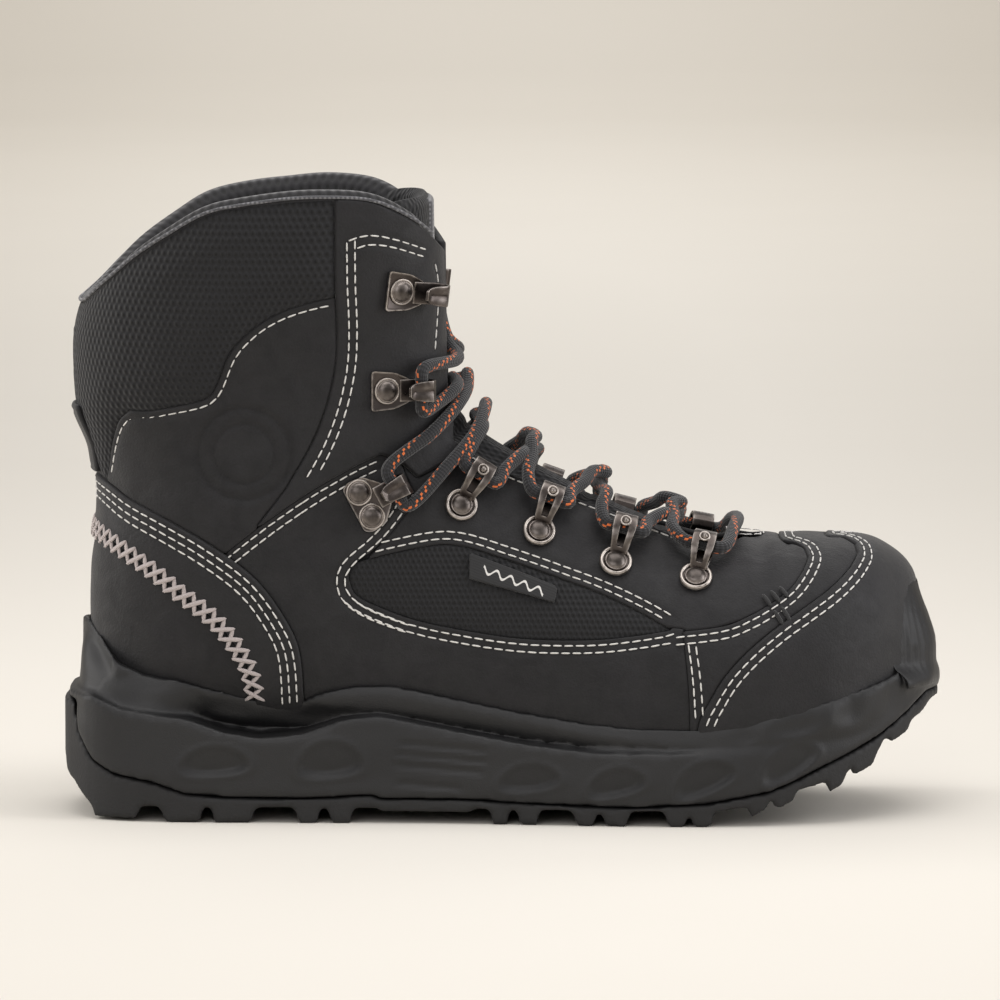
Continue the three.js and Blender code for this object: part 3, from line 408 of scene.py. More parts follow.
gridPos, gridAngle = makeGrid()
gridP = upperPoint(gridPos, gridAngle)
gridN = upperNormal(gridPos, gridAngle)
ringCount, aroundCount = gridPos.shape
print("surface grid", ringCount, "x", aroundCount)


def smoothLine(points, sharpTurn=38.0, step=1.2):
    # a drawn line made smooth between its sharp corners
    points = [np.array(p, float) for p in points]
    count = len(points)
    corner = [True] * count
    for i in range(1, count - 1):
        a, b = points[i] - points[i - 1], points[i + 1] - points[i]
        turn = abs(math.degrees(math.atan2(a[0] * b[1] - a[1] * b[0], a.dot(b))))
        corner[i] = turn > sharpTurn
    out = []
    for i in range(count - 1):
        a, b = points[i], points[i + 1]
        slopeIn = (b - a) if corner[i] else (b - points[i - 1]) / 2
        slopeOut = (b - a) if corner[i + 1] else (points[i + 2] - a) / 2
        length = np.linalg.norm(b - a)
        if not corner[i]:
            slopeIn = slopeIn / max(np.linalg.norm(slopeIn), 1e-6) * length
        if not corner[i + 1]:
            slopeOut = slopeOut / max(np.linalg.norm(slopeOut), 1e-6) * length
        for t in np.arange(max(1, round(length / step))) / max(1, round(length / step)):
            out.append(hermite(t, a, b, slopeIn, slopeOut))
    out.append(points[-1])
    return np.array(out)


farAway = 14.0


def sideField(outline):
    # distance inside (+) or outside (-) a closed side-view outline, for every grid point
    line = np.asarray(outline, float)
    x, z = gridP[..., 0].ravel(), gridP[..., 2].ravel()
    field = np.full(x.shape, -farAway)
    low, high = line.min(0) - farAway, line.max(0) + farAway
    near = np.flatnonzero((x > low[0]) & (x < high[0]) & (z > low[1]) & (z < high[1]))
    field[near] = signedGap(x[near], z[near], line, farAway)
    return field.reshape(gridPos.shape)


def contourLines(field, level=0.0):
    # where the field has this value: chains of (point, normal) over the grid
    value = field - level
    above = value > 0
    right = np.roll(above, -1, 1)
    mixed = above[:-1] | above[1:] | right[:-1] | right[1:]
    mixed &= ~(above[:-1] & above[1:] & right[:-1] & right[1:])
    links = {}
    for i, j in np.argwhere(mixed):
        k = (j + 1) % aroundCount
        corners = ((i, j), (i + 1, j), (i + 1, k), (i, k))
        hits = []
        for n in range(4):
            p, q = corners[n], corners[(n + 1) % 4]
            if above[p] != above[q]:
                hits.append((p, q) if p < q else (q, p))
        for n in range(0, len(hits) - 1, 2):
            links.setdefault(hits[n], []).append(hits[n + 1])
            links.setdefault(hits[n + 1], []).append(hits[n])
    unused = set(links)
    chains = []
    starts = [key for key in links if len(links[key]) == 1] + list(links)
    for start in starts:
        if start not in unused:
            continue
        chain, here = [start], start
        unused.discard(start)
        while True:
            onward = [key for key in links[here] if key in unused]
            if not onward:
                break
            here = onward[0]
            unused.discard(here)
            chain.append(here)
        closed = len(chain) > 2 and start in links[here]
        points, normals = [], []
        for p, q in chain + ([chain[0]] if closed else []):
            t = value[p] / (value[p] - value[q])
            points.append(gridP[p] * (1 - t) + gridP[q] * t)
            normals.append(gridN[p] * (1 - t) + gridN[q] * t)
        if len(points) > 3:
            chains.append((np.array(points), np.array(normals)))
    return chains


def lineTree(chains):
    spots = np.concatenate([points for points, _ in chains])
    before, after, first = [], [], 0
    for points, _ in chains:
        index = np.arange(first, first + len(points))
        before.append(np.maximum(index - 1, first))
        after.append(np.minimum(index + 1, first + len(points) - 1))
        first += len(points)
    return pointTree(spots), spots, np.concatenate(before), np.concatenate(after)


def distanceTo(lines, points):
    # true distance from points to the chains
    tree, spots, before, after = lines
    nearest = np.array([tree.find(point)[1] for point in points], int)
    best = np.linalg.norm(points - spots[nearest], axis=1)
    for other in (before[nearest], after[nearest]):
        a, edge = spots[nearest], spots[other] - spots[nearest]
        size = np.maximum((edge * edge).sum(1), 1e-12)
        t = np.clip(((points - a) * edge).sum(1) / size, 0, 1)
        best = np.minimum(best, np.linalg.norm(points - a - t[:, None] * edge, axis=1))
    return best


def trueField(field, reach=10.0):
    # the same signed field, measured over the surface instead of in the side view
    chains = contourLines(field)
    result = np.sign(field) * farAway
    if not chains:
        return result
    lines = lineTree(chains)
    near = np.argwhere(np.abs(field) < reach)
    points = gridP[near[:, 0], near[:, 1]]
    gap = np.minimum(distanceTo(lines, points), farAway)
    result[near[:, 0], near[:, 1]] = np.where(field[near[:, 0], near[:, 1]] > 0, 1, -1) * gap
    return result


collarLine = [[-148, 181], [-145.6, 183], [-138, 190.5], [-129.4, 198], [-116, 207.5],
              [-104.7, 214], [-91.4, 217.3], [-77, 219], [-58, 220], [-45.8, 218.6],
              [-35.3, 213.4], [-27, 207], [-20, 198]]
throatEdge = [[84, 97.6], [76, 95.6], [69, 96.4], [51, 102.6], [34, 109], [16, 116], [2, 121.5],
              [-18, 133]]
foxingLine = [[-175, 69.5], [-147, 68.5], [-142, 63], [-136, 55], [-126, 51], [-115, 49.6],
              [-103, 46], [-90, 42.4], [-81, 40.4], [-73, 41], [-65, 44.6], [-53, 47.2], [-40, 48],
              [-25, 45], [2, 39.4], [28, 35.4], [48, 33.6], [67, 33.6], [87, 36.4], [106, 41.2],
              [119, 45], [132, 49], [141, 52.6], [175, 58]]
crossSeam = [[-88, 15], [-87.4, 44], [-89, 53], [-92, 59], [-96, 65], [-101, 71], [-107, 76],
             [-114, 81], [-120, 86], [-128, 91.5], [-136, 96.5], [-144, 101]]
strapFront = [[-70, 15], [-70.4, 44], [-72, 61], [-77, 72], [-87, 85.5], [-102, 97],
              [-117, 105.5], [-131, 112.5], [-139, 117.5], [-144, 119.5], [-175, 119.5]]
toeEdge = [[68, 15], [68.4, 35], [73, 45], [78, 53], [86, 61.5], [96, 69.5], [106, 76], [115, 82],
           [122, 88], [125, 92], [124.4, 94.6], [121, 96.1], [115, 96.5], [114, 97]]
vampLeg = [[66, 15], [65, 48], [63, 68]]
vampArc = [[63, 68], [78, 70], [87, 73.6], [93, 76.8], [100, 81.4], [105, 87], [107.6, 91.6],
           [106.4, 94.4], [103, 95.8], [98.6, 96.4], [98, 97]]
plateSeam = [[-104, 89], [-98, 94.5], [-84, 105.5], [-68, 116.5], [-52, 125.5], [-43, 129.5],
             [-36, 126.5]]
facingEdge = [[-59, 240], [-59, 191], [-58.4, 175], [-59, 161], [-62, 147], [-67, 134], [-76, 118]]
ankleEdge = [[-58, 185.4], [-69, 183], [-80, 179], [-89, 173], [-96, 165], [-100.4, 154],
             [-103, 150], [-108, 148], [-117, 146], [-125, 144.4], [-131, 144.6], [-135, 140.5],
             [-137, 134.5], [-138.4, 126], [-139.4, 112], [-132, 100]]
windowTop = [[-53, 91], [-44, 93.6], [-38, 95], [-28, 97], [-20, 97.8], [-12, 96.6], [-2, 93.4],
             [9, 89.8], [20, 86], [34, 81], [48, 74.6], [59, 68.6]]
windowLow = [[59, 68.6], [48, 66.8], [34, 65.2], [20, 64.8], [6, 65.2], [-9, 67], [-30, 71],
             [-44, 76], [-52, 80.4], [-54.4, 86], [-53, 91]]
quarterRear = [[-36, 126.5], [-31, 113.5], [-35, 108], [-40, 101.4], [-47, 95], [-52, 91.4],
               [-54, 86]]


def closedShape(*lines):
    return [list(p) for line in lines for p in line]


def below(line, drop, floor):
    lowered = [[x, z - drop] for x, z in line]
    return closedShape(lowered, [[line[-1][0], floor], [line[0][0], floor]])


foxingSmooth = smoothLine(foxingLine)
shapes = {
    "collar": closedShape([[-175, 181]], smoothLine(collarLine), [[0, 198], [0, 262], [-175, 262]]),
    "throat": closedShape(smoothLine(throatEdge), [[-18, 170], [110, 170], [110, 97.6]]),
    "slot": [[-45, 129], [-12, 129], [-2, 260], [-45, 260]],
    "under": below(foxingSmooth, 7.0, -20),
    "heel_strap": closedShape(smoothLine(strapFront), [[-175, 101]], smoothLine(crossSeam)[::-1]),
    "heel_cover": closedShape(smoothLine(crossSeam), [[-175, 101], [-175, 15]]),
    "toe_cover": closedShape(smoothLine(toeEdge), [[114, 115], [175, 115], [175, 15]]),
    "vamp_strip": closedShape(smoothLine(vampLeg), smoothLine(vampArc),
                              [[98, 115], [130, 115], [130, 15]]),
    "upper_facing": closedShape(smoothLine(plateSeam)[18:], [[-30, 121], [-20, 126], [0, 150],
                                [0, 240]], smoothLine(facingEdge)),
    "ankle_panel": closedShape(smoothLine(plateSeam[:6]), [[-40, 186]], smoothLine(ankleEdge)),
    "mesh_window": closedShape(smoothLine(windowTop), smoothLine(windowLow)),
    "quarter": closedShape([[-115, 15], [-115, 100]], smoothLine(plateSeam), smoothLine(quarterRear),
                           [[-30, 76], [20, 72], [58, 69.4], [63, 69], [70, 60], [70, 15]]),
    "vamp": [[-50, 90], [-40, 101.4], [-35, 108], [-31, 113.5], [-36, 127], [-30, 150], [110, 150],
             [112, 80], [62, 66], [20, 78], [-30, 85]],
    "collar_mesh": [[-175, 100], [-175, 240], [-30, 240], [-30, 160], [-100, 120]],
    "strap_front": closedShape(smoothLine(strapFront), [[-175, 15]]),
    "facing_left": closedShape(smoothLine(facingEdge), [[-80, 106], [-30, 90], [20, 90], [20, 240]]),
    "vamp_arc": closedShape([[30, 65]], smoothLine([[48, 66.8]] + vampArc),
                            [[98, 115], [130, 115], [130, 15], [30, 15]]),
}
fields = {}
for name, outline in shapes.items():
    fields[name] = sideField(outline)
fields["throat"] = np.maximum(fields["throat"],
                              np.minimum(fields["slot"], 16 - np.abs(gridP[..., 1])))
for name in shapes:
    if name not in ("slot", "vamp", "collar_mesh", "under"):
        fields[name] = trueField(fields[name])
print("seam fields ready")

stitchSetup = {"length": 3.2, "gap": 0.75, "width": 0.62, "height": 0.56, "channel": 0.42}


def clipRuns(chains, keep):
    # the stretches of the chains whose points pass the test
    runs = []
    for points, normals in chains:
        good = keep(points)
        if good.all():
            runs.append((points, normals))
            continue
        if np.linalg.norm(points[0] - points[-1]) < 1e-6 and good.any():
            first = int(np.argmin(good))
            points = np.roll(points[:-1], -first, 0)
            normals = np.roll(normals[:-1], -first, 0)
            good = keep(points)
        edges = np.flatnonzero(np.diff(np.concatenate([[0], good.astype(int), [0]])))
        for start, end in zip(edges[::2], edges[1::2]):
            if end - start > 4:
                runs.append((points[start:end], normals[start:end]))
    return runs


def overSole(p, lift=0.6):
    return p[:, 2] > np.interp(p[:, 0], foxingSmooth[:, 0], foxingSmooth[:, 1]) + lift


def evenly(points, step):
    run = runLengths(points)
    count = max(1, int(round(run[-1] / step)))
    places = np.linspace(0, run[-1], count + 1)
    return np.stack([np.interp(places, run, points[:, k]) for k in range(3)], 1)


def softened(points, rounds=3):
    # takes the grid's small steps out of a chain
    points = points.copy()
    for _ in range(rounds):
        points[1:-1] = points[1:-1] * 0.5 + (points[:-2] + points[2:]) * 0.25
    return points


def locate(x, z, side):
    # grid place seen at x and z from one side
    half = gridP[..., 1] * side > 0
    flat = np.where(half, (gridP[..., 0] - x) ** 2 + (gridP[..., 2] - z) ** 2, 1e9)
    i, j = np.unravel_index(np.argmin(flat), flat.shape)
    position, angle = gridPos[i, j], gridAngle[i, j]
    for _ in range(8):
        here = upperPoint(position, angle)
        dp = (upperPoint(min(position + 1e-3, lastRow), angle) - here) / 1e-3
        da = (upperPoint(position, angle + 1e-4) - here) / 1e-4
        matrix = np.array([[dp[0], da[0]], [dp[2], da[2]]])
        miss = np.array([x - here[0], z - here[2]])
        if abs(np.linalg.det(matrix)) < 1e-6:
            break
        step = np.linalg.solve(matrix, miss)
        position = float(np.clip(position + np.clip(step[0], -0.3, 0.3), 0, lastRow - 1e-3))
        angle = float(angle + np.clip(step[1], -0.1, 0.1))
    return position, angle


def drawnRun(line, side):
    points, normals = [], []
    for x, z in smoothLine(line, step=2.5):
        position, angle = locate(x, z, side)
        points.append(upperPoint(position, angle))
        normals.append(upperNormal(np.float64(position), np.float64(angle)))
    return np.array(points), np.array(normals)


rowPlan = []   # (group, rise of the leather there, runs)


def addRows(group, rise, field, distances, keep):
    for distance in distances:
        runs = clipRuns(contourLines(fields[field], distance), keep)
        rowPlan.append((group, rise, runs))


def sideRows(group, rise, lines):
    rowPlan.append((group, rise, [drawnRun(line, side) for line in lines for side in (-1, 1)]))


addRows("toe", 1.2, "toe_cover", (2.6, 5.2), lambda p: overSole(p) & (p[:, 0] < 132))
addRows("vamp", 0.6, "vamp_arc", (1.9, 4.5),
        lambda p: (p[:, 0] > 60) & (p[:, 2] > 60) & (p[:, 2] < 99) & (p[:, 0] < 113))
addRows("window", 0, "mesh_window", (-2.0,),
        lambda p: (p[:, 0] > -46) & (p[:, 0] < 57) & (p[:, 2] > 68.5 + 0.001 * p[:, 0])
        & (p[:, 2] > 82 - 0.2 * p[:, 0])
        | (p[:, 2] < 78) & (p[:, 0] < 62) & (p[:, 2] < 74 - 0.1 * p[:, 0]))
addRows("window", 0, "mesh_window", (-4.6,),
        lambda p: (p[:, 0] > -44) & (p[:, 0] < 60) & (p[:, 2] > 82 - 0.2 * p[:, 0])
        | (p[:, 2] < 78) & (p[:, 0] < 60) & (p[:, 2] < 74 - 0.1 * p[:, 0]))
addRows("throat", 0, "throat", (-2.4,), lambda p: (p[:, 0] > -16) & (p[:, 0] < 70)
        & (np.abs(p[:, 1]) > 8))
addRows("plate", 0, "upper_facing", (-1.8, -4.6), lambda p: (p[:, 0] > -72) & (p[:, 0] < -44)
        & (p[:, 2] > 105) & (p[:, 2] < 128))
addRows("plate", 0, "ankle_panel", (-1.8, -4.6), lambda p: (p[:, 0] > -99) & (p[:, 0] < -70)
        & (p[:, 2] > 88) & (p[:, 2] < 118))
addRows("ankle", 0.8, "ankle_panel", (2.3,), lambda p: (p[:, 0] > -140)
        & ((p[:, 0] < -74) | (p[:, 2] > 139)) & (p[:, 0] < -60)
        & (p[:, 2] > 113 - 0.06 * p[:, 0] + 0.1 * (p[:, 0] + 130)))
addRows("facing", 1.2, "facing_left", (4.2, 7.0), lambda p: (p[:, 0] < -48)
        & (p[:, 2] > 122.5 + 0.52 * (p[:, 0] + 67)) & (p[:, 2] < 206))
addRows("strap", 1.6, "strap_front", (2.2, 4.8, 7.4), lambda p: overSole(p) & (p[:, 0] > -146.5))
sideRows("facing", 1.2, [
    [[-54.7, 205], [-48.6, 207.4], [-38.2, 205.3], [-27.7, 201]],
    [[-51.8, 202.4], [-48.2, 204.4], [-38.6, 202.6], [-28.5, 198.6]],
    [[-25, 196], [-23.8, 190], [-24, 180], [-25, 165]],
])
sideRows("vamp", 0.6, [
    [[64.8, 64], [66.4, 52], [67.4, 37.6]],
    [[67.4, 63.6], [69, 52], [70, 38.4]],
])
sideRows("quarter", 0, [
    [[-31.4, 115.5], [-35.4, 108.9], [-40.6, 102], [-47.4, 95.6], [-53.4, 90.8], [-56.6, 86.4],
     [-55.4, 80], [-50.4, 76.4], [-44, 73.4], [-33, 69.4]],
    [[-34.6, 116.6], [-38.4, 109.8], [-43.4, 103.2], [-49.6, 97.2], [-55.8, 92.6], [-59.3, 86.6],
     [-58, 79], [-52, 74], [-45, 70.8], [-34, 66.9]],
])
rowPoints = [softened(points) for group, rise, runs in rowPlan for points, normals in runs]
rowLines = lineTree([(points, points) for points in rowPoints])
print("stitch rows", len(rowPoints))


def capsuleShape(power):
    # a rounded grain one unit long; a smaller power gives blunter ends
    deselectAll()
    bpy.ops.mesh.primitive_uv_sphere_add(segments=6, ring_count=5, radius=0.5)
    seed = bpy.context.active_object
    bpy.ops.object.mode_set(mode="EDIT")
    bpy.ops.mesh.select_all(action="SELECT")
    bpy.ops.transform.rotate(value=math.pi / 2, orient_axis="Y", center_override=(0, 0, 0))
    bpy.ops.object.mode_set(mode="OBJECT")
    shape = np.array([v.co for v in seed.data.vertices])
    shape = np.sign(shape) * (np.abs(shape) * 2) ** np.array([power, 0.9, 0.9]) / 2
    faces = [list(f.vertices) for f in seed.data.polygons]
    bpy.data.objects.remove(seed)
    return shape, faces


def threadPiece(name, groups, material):
    # one capsule, copied along the rows and laid on the leather
    shape, faces = capsuleShape(0.55)
    allPoints, allFaces = [], []
    size = np.array([stitchSetup["length"], stitchSetup["width"], stitchSetup["height"]])
    pitch = stitchSetup["length"] + stitchSetup["gap"]
    for group, rise, runs in rowPlan:
        if group not in groups:
            continue
        for points, normals in runs:
            path = evenly(softened(points), pitch)
            if len(path) < 2:
                continue
            tree = pointTree(points)
            for a, b in zip(path[:-1], path[1:]):
                middle = (a + b) / 2
                along = b - a
                along /= max(np.linalg.norm(along), 1e-9)
                away = normals[tree.find(middle)[1]]
                away = away - away.dot(along) * along
                away /= max(np.linalg.norm(away), 1e-9)
                across = np.cross(away, along)
                wobble = 0.06 * noise.noise(Vector(middle) * 0.9)
                local = shape * size
                turned = (local[:, :1] * (along + across * wobble) + local[:, 1:2] * across
                          + local[:, 2:] * away)
                first = len(allPoints) * len(shape)
                allPoints.append(turned + middle + away * (rise - 0.1))
                allFaces.extend([[v + first for v in f] for f in faces])
    obj = meshPiece(name, np.concatenate(allPoints), allFaces)
    return finishPiece(obj, "boot", material, "grey_binding")


def cutPanel(field, levels, stride=1):
    # the grid trimmed to where the field is positive, with extra lines at the given levels
    value = field[::stride, ::stride]
    rings, around = value.shape
    points = gridP[::stride, ::stride].reshape(-1, 3)
    normals = gridN[::stride, ::stride].reshape(-1, 3)
    index = np.arange(rings * around).reshape(rings, around)
    right = np.roll(index, -1, 1)
    cells = np.stack([index[:-1], index[1:], right[1:], right[:-1]], -1).reshape(-1, 4)
    flat = list(value.ravel())
    flatArray = value.ravel()
    lowest = flatArray[cells].min(1)
    highest = flatArray[cells].max(1)
    faces = cells[lowest > levels[-1]].tolist()
    extra, seen = [], {}

    def between(u, v, level):
        key = (u, v, level) if u < v else (v, u, level)
        if key not in seen:
            t = (level - flat[u]) / (flat[v] - flat[u])
            seen[key] = len(flat)
            extra.append((u, v, t))
            flat.append(level)
        return seen[key]

    for cell in cells[(lowest <= levels[-1]) & (highest > levels[0])].tolist():
        shape = cell
        for n, level in enumerate(levels):
            over, under = [], []
            for k, u in enumerate(shape):
                v = shape[(k + 1) % len(shape)]
                a, b = flat[u] - level, flat[v] - level
                if a >= 0:
                    over.append(u)
                if a <= 0:
                    under.append(u)
                if a * b < 0:
                    w = between(u, v, level)
                    over.append(w)
                    under.append(w)
            if n > 0 and len(set(under)) > 2:
                faces.append(under)
            shape = over
            if len(set(shape)) < 3:
                break
        else:
            faces.append(shape)
    allPoints = list(points)
    allNormals = list(normals)
    for u, v, t in extra:
        allPoints.append(allPoints[u] * (1 - t) + allPoints[v] * t)
        allNormals.append(allNormals[u] * (1 - t) + allNormals[v] * t)
    used = sorted({v for f in faces for v in f})
    renumber = {v: n for n, v in enumerate(used)}
    faces = [[renumber[v] for v in f] for f in faces]
    values = np.array([flat[v] for v in used])
    allPoints = np.array([allPoints[v] for v in used])
    allNormals = np.array([allNormals[v] for v in used])
    allNormals /= np.maximum(np.linalg.norm(allNormals, axis=1, keepdims=True), 1e-9)
    return allPoints, allNormals, values, faces


def closeShell(topPoints, bottomPoints, faces):
    # walls along every open edge and the same faces turned over underneath
    count = len(topPoints)
    edges = {}
    for f in faces:
        for k, u in enumerate(f):
            v = f[(k + 1) % len(f)]
            edges[(u, v)] = edges.get((u, v), 0) + 1
    walls = [[v, u, u + count, v + count] for (u, v) in edges if (v, u) not in edges]
    under = [[v + count for v in reversed(f)] for f in faces]
    return np.concatenate([topPoints, bottomPoints]), faces + walls + under


def creaseRelief(points, depth):
    # shallow folds where the boot bends, and slow unevenness of the hide
    out = np.zeros(len(points))
    for i, p in enumerate(points):
        v = Vector(p)
        flow = noise.noise(v * 0.035) * 0.35
        fold = noise.noise(Vector((p[0] * 0.12, p[1] * 0.05, p[2] * 0.07)) + v * 0.01)
        out[i] = depth * (flow + 0.35 * fold + 0.12 * noise.noise(v * 0.3))
    return out


def panelPiece(name, field, setup, material, slot, node):
    levels = setup.get("levels", (0.0, 0.25, 0.8))
    points, normals, inside, faces = cutPanel(field, levels, setup.get("stride", 1))
    height = np.full(len(points), float(setup["rise"]))
    drop = setup.get("edge", 0.5)
    height -= drop * (1 - np.sin(np.clip(inside / 0.8, 0, 1) * math.pi / 2))
    near = distanceTo(rowLines, points)
    height -= stitchSetup["channel"] * np.exp(-(near / 0.95) ** 2)
    height += creaseRelief(points, setup.get("crease", 0.4))
    if setup.get("puff"):
        height += setup["puff"] * (1 - np.exp(-np.maximum(inside, 0) / setup.get("puffReach", 5)))
    if setup.get("extra") is not None:
        height += setup["extra"](points)
    top = points + normals * height[:, None]
    bottom = points - normals * setup.get("under", 1.9)
    obj = meshPiece(name, *closeShell(top, bottom, faces))
    if setup.get("uv"):
        setUv(obj, np.tile(setup["uv"](points) * mm, (2, 1)))
    return finishPiece(obj, "boot", material, slot, node)


def sideWeave(points):
    return np.stack([points[:, 0], points[:, 2]], 1)


def shaftWeave(points):
    # distance round the shaft against height
    turn = np.arctan2(points[:, 1] * 1.25, points[:, 0] + 88)
    return np.stack([turn * 56, points[:, 2] * 1.0], 1)


def ankleEmblem(points):
    # a plain pressed ring on the ankle
    away = np.hypot(points[:, 0] + 91, points[:, 2] - 130)
    ring = np.exp(-((away - 16.2) / 1.0) ** 2) + 0.7 * np.exp(-((away - 10.5) / 0.8) ** 2)
    dish = 0.3 * (1 - ramp(away, 14, 16))
    return -0.85 * ring * (np.abs(points[:, 1]) > 5) - dish


def toeCreases(points):
    # pinched folds of the vamp behind the toe cap
    x, y, z = points.T
    near = ramp(z, 80, 92) * ramp(x, 78, 88) * (1 - ramp(x, 104, 110))
    fold = 0.5 * np.exp(-((x - 101 + 0.002 * y * y) / 1.2) ** 2)
    return near * 0.3 * np.sin(x * 0.55 + 0.06 * y) - fold * near


seamGap = 0.14
side = {"outer": -gridP[..., 1], "inner": gridP[..., 1]}
openings = np.maximum(np.maximum(fields["collar"], fields["throat"]), fields["under"])
panelPlan = [
    ("heel_strap", {"rise": 1.6, "edge": 0.7, "crease": 0.25}, smoothNubuck, "trim_leather", False),
    ("heel_cover", {"rise": 0.4, "crease": 0.35}, waxedNubuck, "black_leather", False),
    ("toe_cover", {"rise": 1.2, "edge": 0.8, "crease": 0.25}, smoothNubuck, "trim_leather", False),
    ("vamp_strip", {"rise": 0.6, "crease": 0.4}, waxedNubuck, "black_leather", False),
    ("upper_facing", {"rise": 1.2, "edge": 0.7, "crease": 0.5}, smoothNubuck, "trim_leather", True),
    ("ankle_panel", {"rise": 0.8, "edge": 0.6, "crease": 0.8, "puff": 0.7, "puffReach": 6,
                     "extra": ankleEmblem}, waxedNubuck, "black_leather", True),
    ("mesh_window", {"rise": -0.8, "edge": 0.2, "crease": 0.3, "puff": 0.9, "puffReach": 5,
                     "uv": sideWeave}, windowMesh, "knit_mesh", True),
    ("quarter", {"rise": 0, "edge": 0.2, "crease": 0.7}, waxedNubuck, "black_leather", True),
    ("vamp", {"rise": 0, "edge": 0.5, "crease": 0.5, "extra": toeCreases}, waxedNubuck,
     "black_leather", False),
    ("collar_mesh", {"rise": 0.2, "edge": 0.2, "crease": 0.6, "puff": 2.4, "puffReach": 6,
                     "uv": shaftWeave}, airMesh, "knit_mesh", False),
]
claimed = np.full(gridPos.shape, -farAway)
panelFields = {}
for name, setup, material, slot, pair in panelPlan:
    own = fields[name]
    field = np.minimum(np.minimum(own, -claimed - seamGap), -openings)
    panelFields[name] = field
    claimed = np.maximum(claimed, own)
    for which in (("outer", "inner") if pair else ("",)):
        part = np.minimum(field, side[which]) if which else field
        node = name + ("_" + which if which else "")
        panelPiece(node + "_skin", part, setup, material, slot, node)
print("panels ready")

threadPiece("stitching_toe_and_vamp", ("toe", "vamp"), sewingThread)
threadPiece("stitching_sides", ("window", "throat", "plate", "quarter"), sewingThread)
threadPiece("stitching_ankle", ("ankle", "facing", "strap"), sewingThread)
print("stitching ready")

crossSetup = {"pitch": 4.4, "half": 3.0, "width": 1.7, "height": 1.0}


def strandsPiece(name, strands, width, height, material):
    # short threads between two points, bowed a little away from the leather
    shape, faces = capsuleShape(0.7)
    allPoints, allFaces = [], []
    for a, b, away, lift in strands:
        along = b - a
        length = np.linalg.norm(along)
        along = along / max(length, 1e-9)
        away = away - away.dot(along) * along
        away /= max(np.linalg.norm(away), 1e-9)
        across = np.cross(away, along)
        first = len(allPoints) * len(shape)
        bow = (1 - (shape[:, :1] * 2) ** 2) * 0.25
        allPoints.append((a + b) / 2 + shape[:, :1] * along * (length + width)
                         + shape[:, 1:2] * across * width
                         + (shape[:, 2:] * height + bow + lift) * away)
        allFaces.extend([[v + first for v in f] for f in faces])
    obj = meshPiece(name, np.concatenate(allPoints), allFaces)
    return finishPiece(obj, "boot", material, "grey_binding")


def heelCrossStitch():
    runs = clipRuns(contourLines(fields["heel_cover"], 0.0), lambda p: overSole(p, 1.5)
                    & (p[:, 2] < 103))
    strands = []
    for points, normals in runs:
        path = evenly(softened(points), crossSetup["pitch"])
        tree = pointTree(points)
        rails = []
        for k, point in enumerate(path):
            along = path[min(k + 1, len(path) - 1)] - path[max(k - 1, 0)]
            along /= np.linalg.norm(along)
            away = normals[tree.find(point)[1]]
            away /= np.linalg.norm(away)
            across = np.cross(away, along)
            rails.append((point + across * crossSetup["half"], point - across * crossSetup["half"],
                          away))
        for k in range(len(rails) - 1):
            rise = rails[k][2] * 1.35
            strands.append((rails[k][0] + rise, rails[k + 1][1] + rise, rails[k][2], 0.0))
            strands.append((rails[k][1] + rise, rails[k + 1][0] + rise, rails[k][2], 0.45))
    strandsPiece("cross_stitch_heel_seam", strands, crossSetup["width"], crossSetup["height"],
                 crossThread)


def onTop(x, y):
    # a place on the upper seen from above
    flat = (gridP[..., 0] - x) ** 2 + (gridP[..., 1] - y) ** 2 + np.where(gridN[..., 2] > 0, 0, 1e6)
    i, j = np.unravel_index(np.argmin(flat), flat.shape)
    return gridP[i, j], gridN[i, j]


def barTacks():
    dark, pale = [], []
    for sideSign in (-1, 1):
        for x, z in ((92.4, 78.2), (95.4, 79.4), (98.4, 80.8), (96.4, 72.6), (99, 73.8)):
            position, angle = locate(x, z, sideSign)
            point = upperPoint(position, angle)
            away = upperNormal(np.float64(position), np.float64(angle))
            lean = np.array([1.1, 0.0, -2.2])
            lean -= lean.dot(away) * away
            dark.append((point - lean + away * 0.9, point + lean + away * 0.9, away, 0.0))
    ring = [(79.5, -9), (86, -9.5), (91, -6), (92.5, 0), (91, 6), (86, 9.5), (79.5, 9), (79.5, 3),
            (79.5, -3), (79.5, -9)]
    for (ax, ay), (bx, by) in zip(ring[:-1], ring[1:]):
        for n in range(2):
            a, away = onTop(ax + (bx - ax) * (n / 2 + 0.06), ay + (by - ay) * (n / 2 + 0.06))
            b, _ = onTop(ax + (bx - ax) * (n / 2 + 0.44), ay + (by - ay) * (n / 2 + 0.44))
            pale.append((a + away * 0.35, b + away * 0.35, away, 0.0))
    strandsPiece("bar_tacks_vamp", dark, 1.6, 0.6, darkThread)
    strandsPiece("tongue_seam_tack", pale, 0.7, 0.4, sewingThread)


heelCrossStitch()
barTacks()
print("seam threads ready")

collarSetup = {"fill": 0.7, "pipingRadius": 0.6, "start": -26}


def collarPath():
    runs = clipRuns(contourLines(fields["collar"], 0.0),
                    lambda p: (p[:, 0] < collarSetup["start"]) & (p[:, 2] > 150))
    points, normals = max(runs, key=lambda run: len(run[0]))
    points, normals = softened(points, 12), softened(normals, 40)
    path = evenly(points, 1.6)
    tree = pointTree(points)
    away = np.array([normals[tree.find(point)[1]] for point in path])
    away /= np.linalg.norm(away, axis=1, keepdims=True)
    along = np.gradient(path, axis=0)
    along /= np.linalg.norm(along, axis=1, keepdims=True)
    up = np.cross(along, away)
    up *= np.sign(up[:, 2:3].mean())
    up /= np.linalg.norm(up, axis=1, keepdims=True)
    return path, softened(away, 30), softened(up, 30)


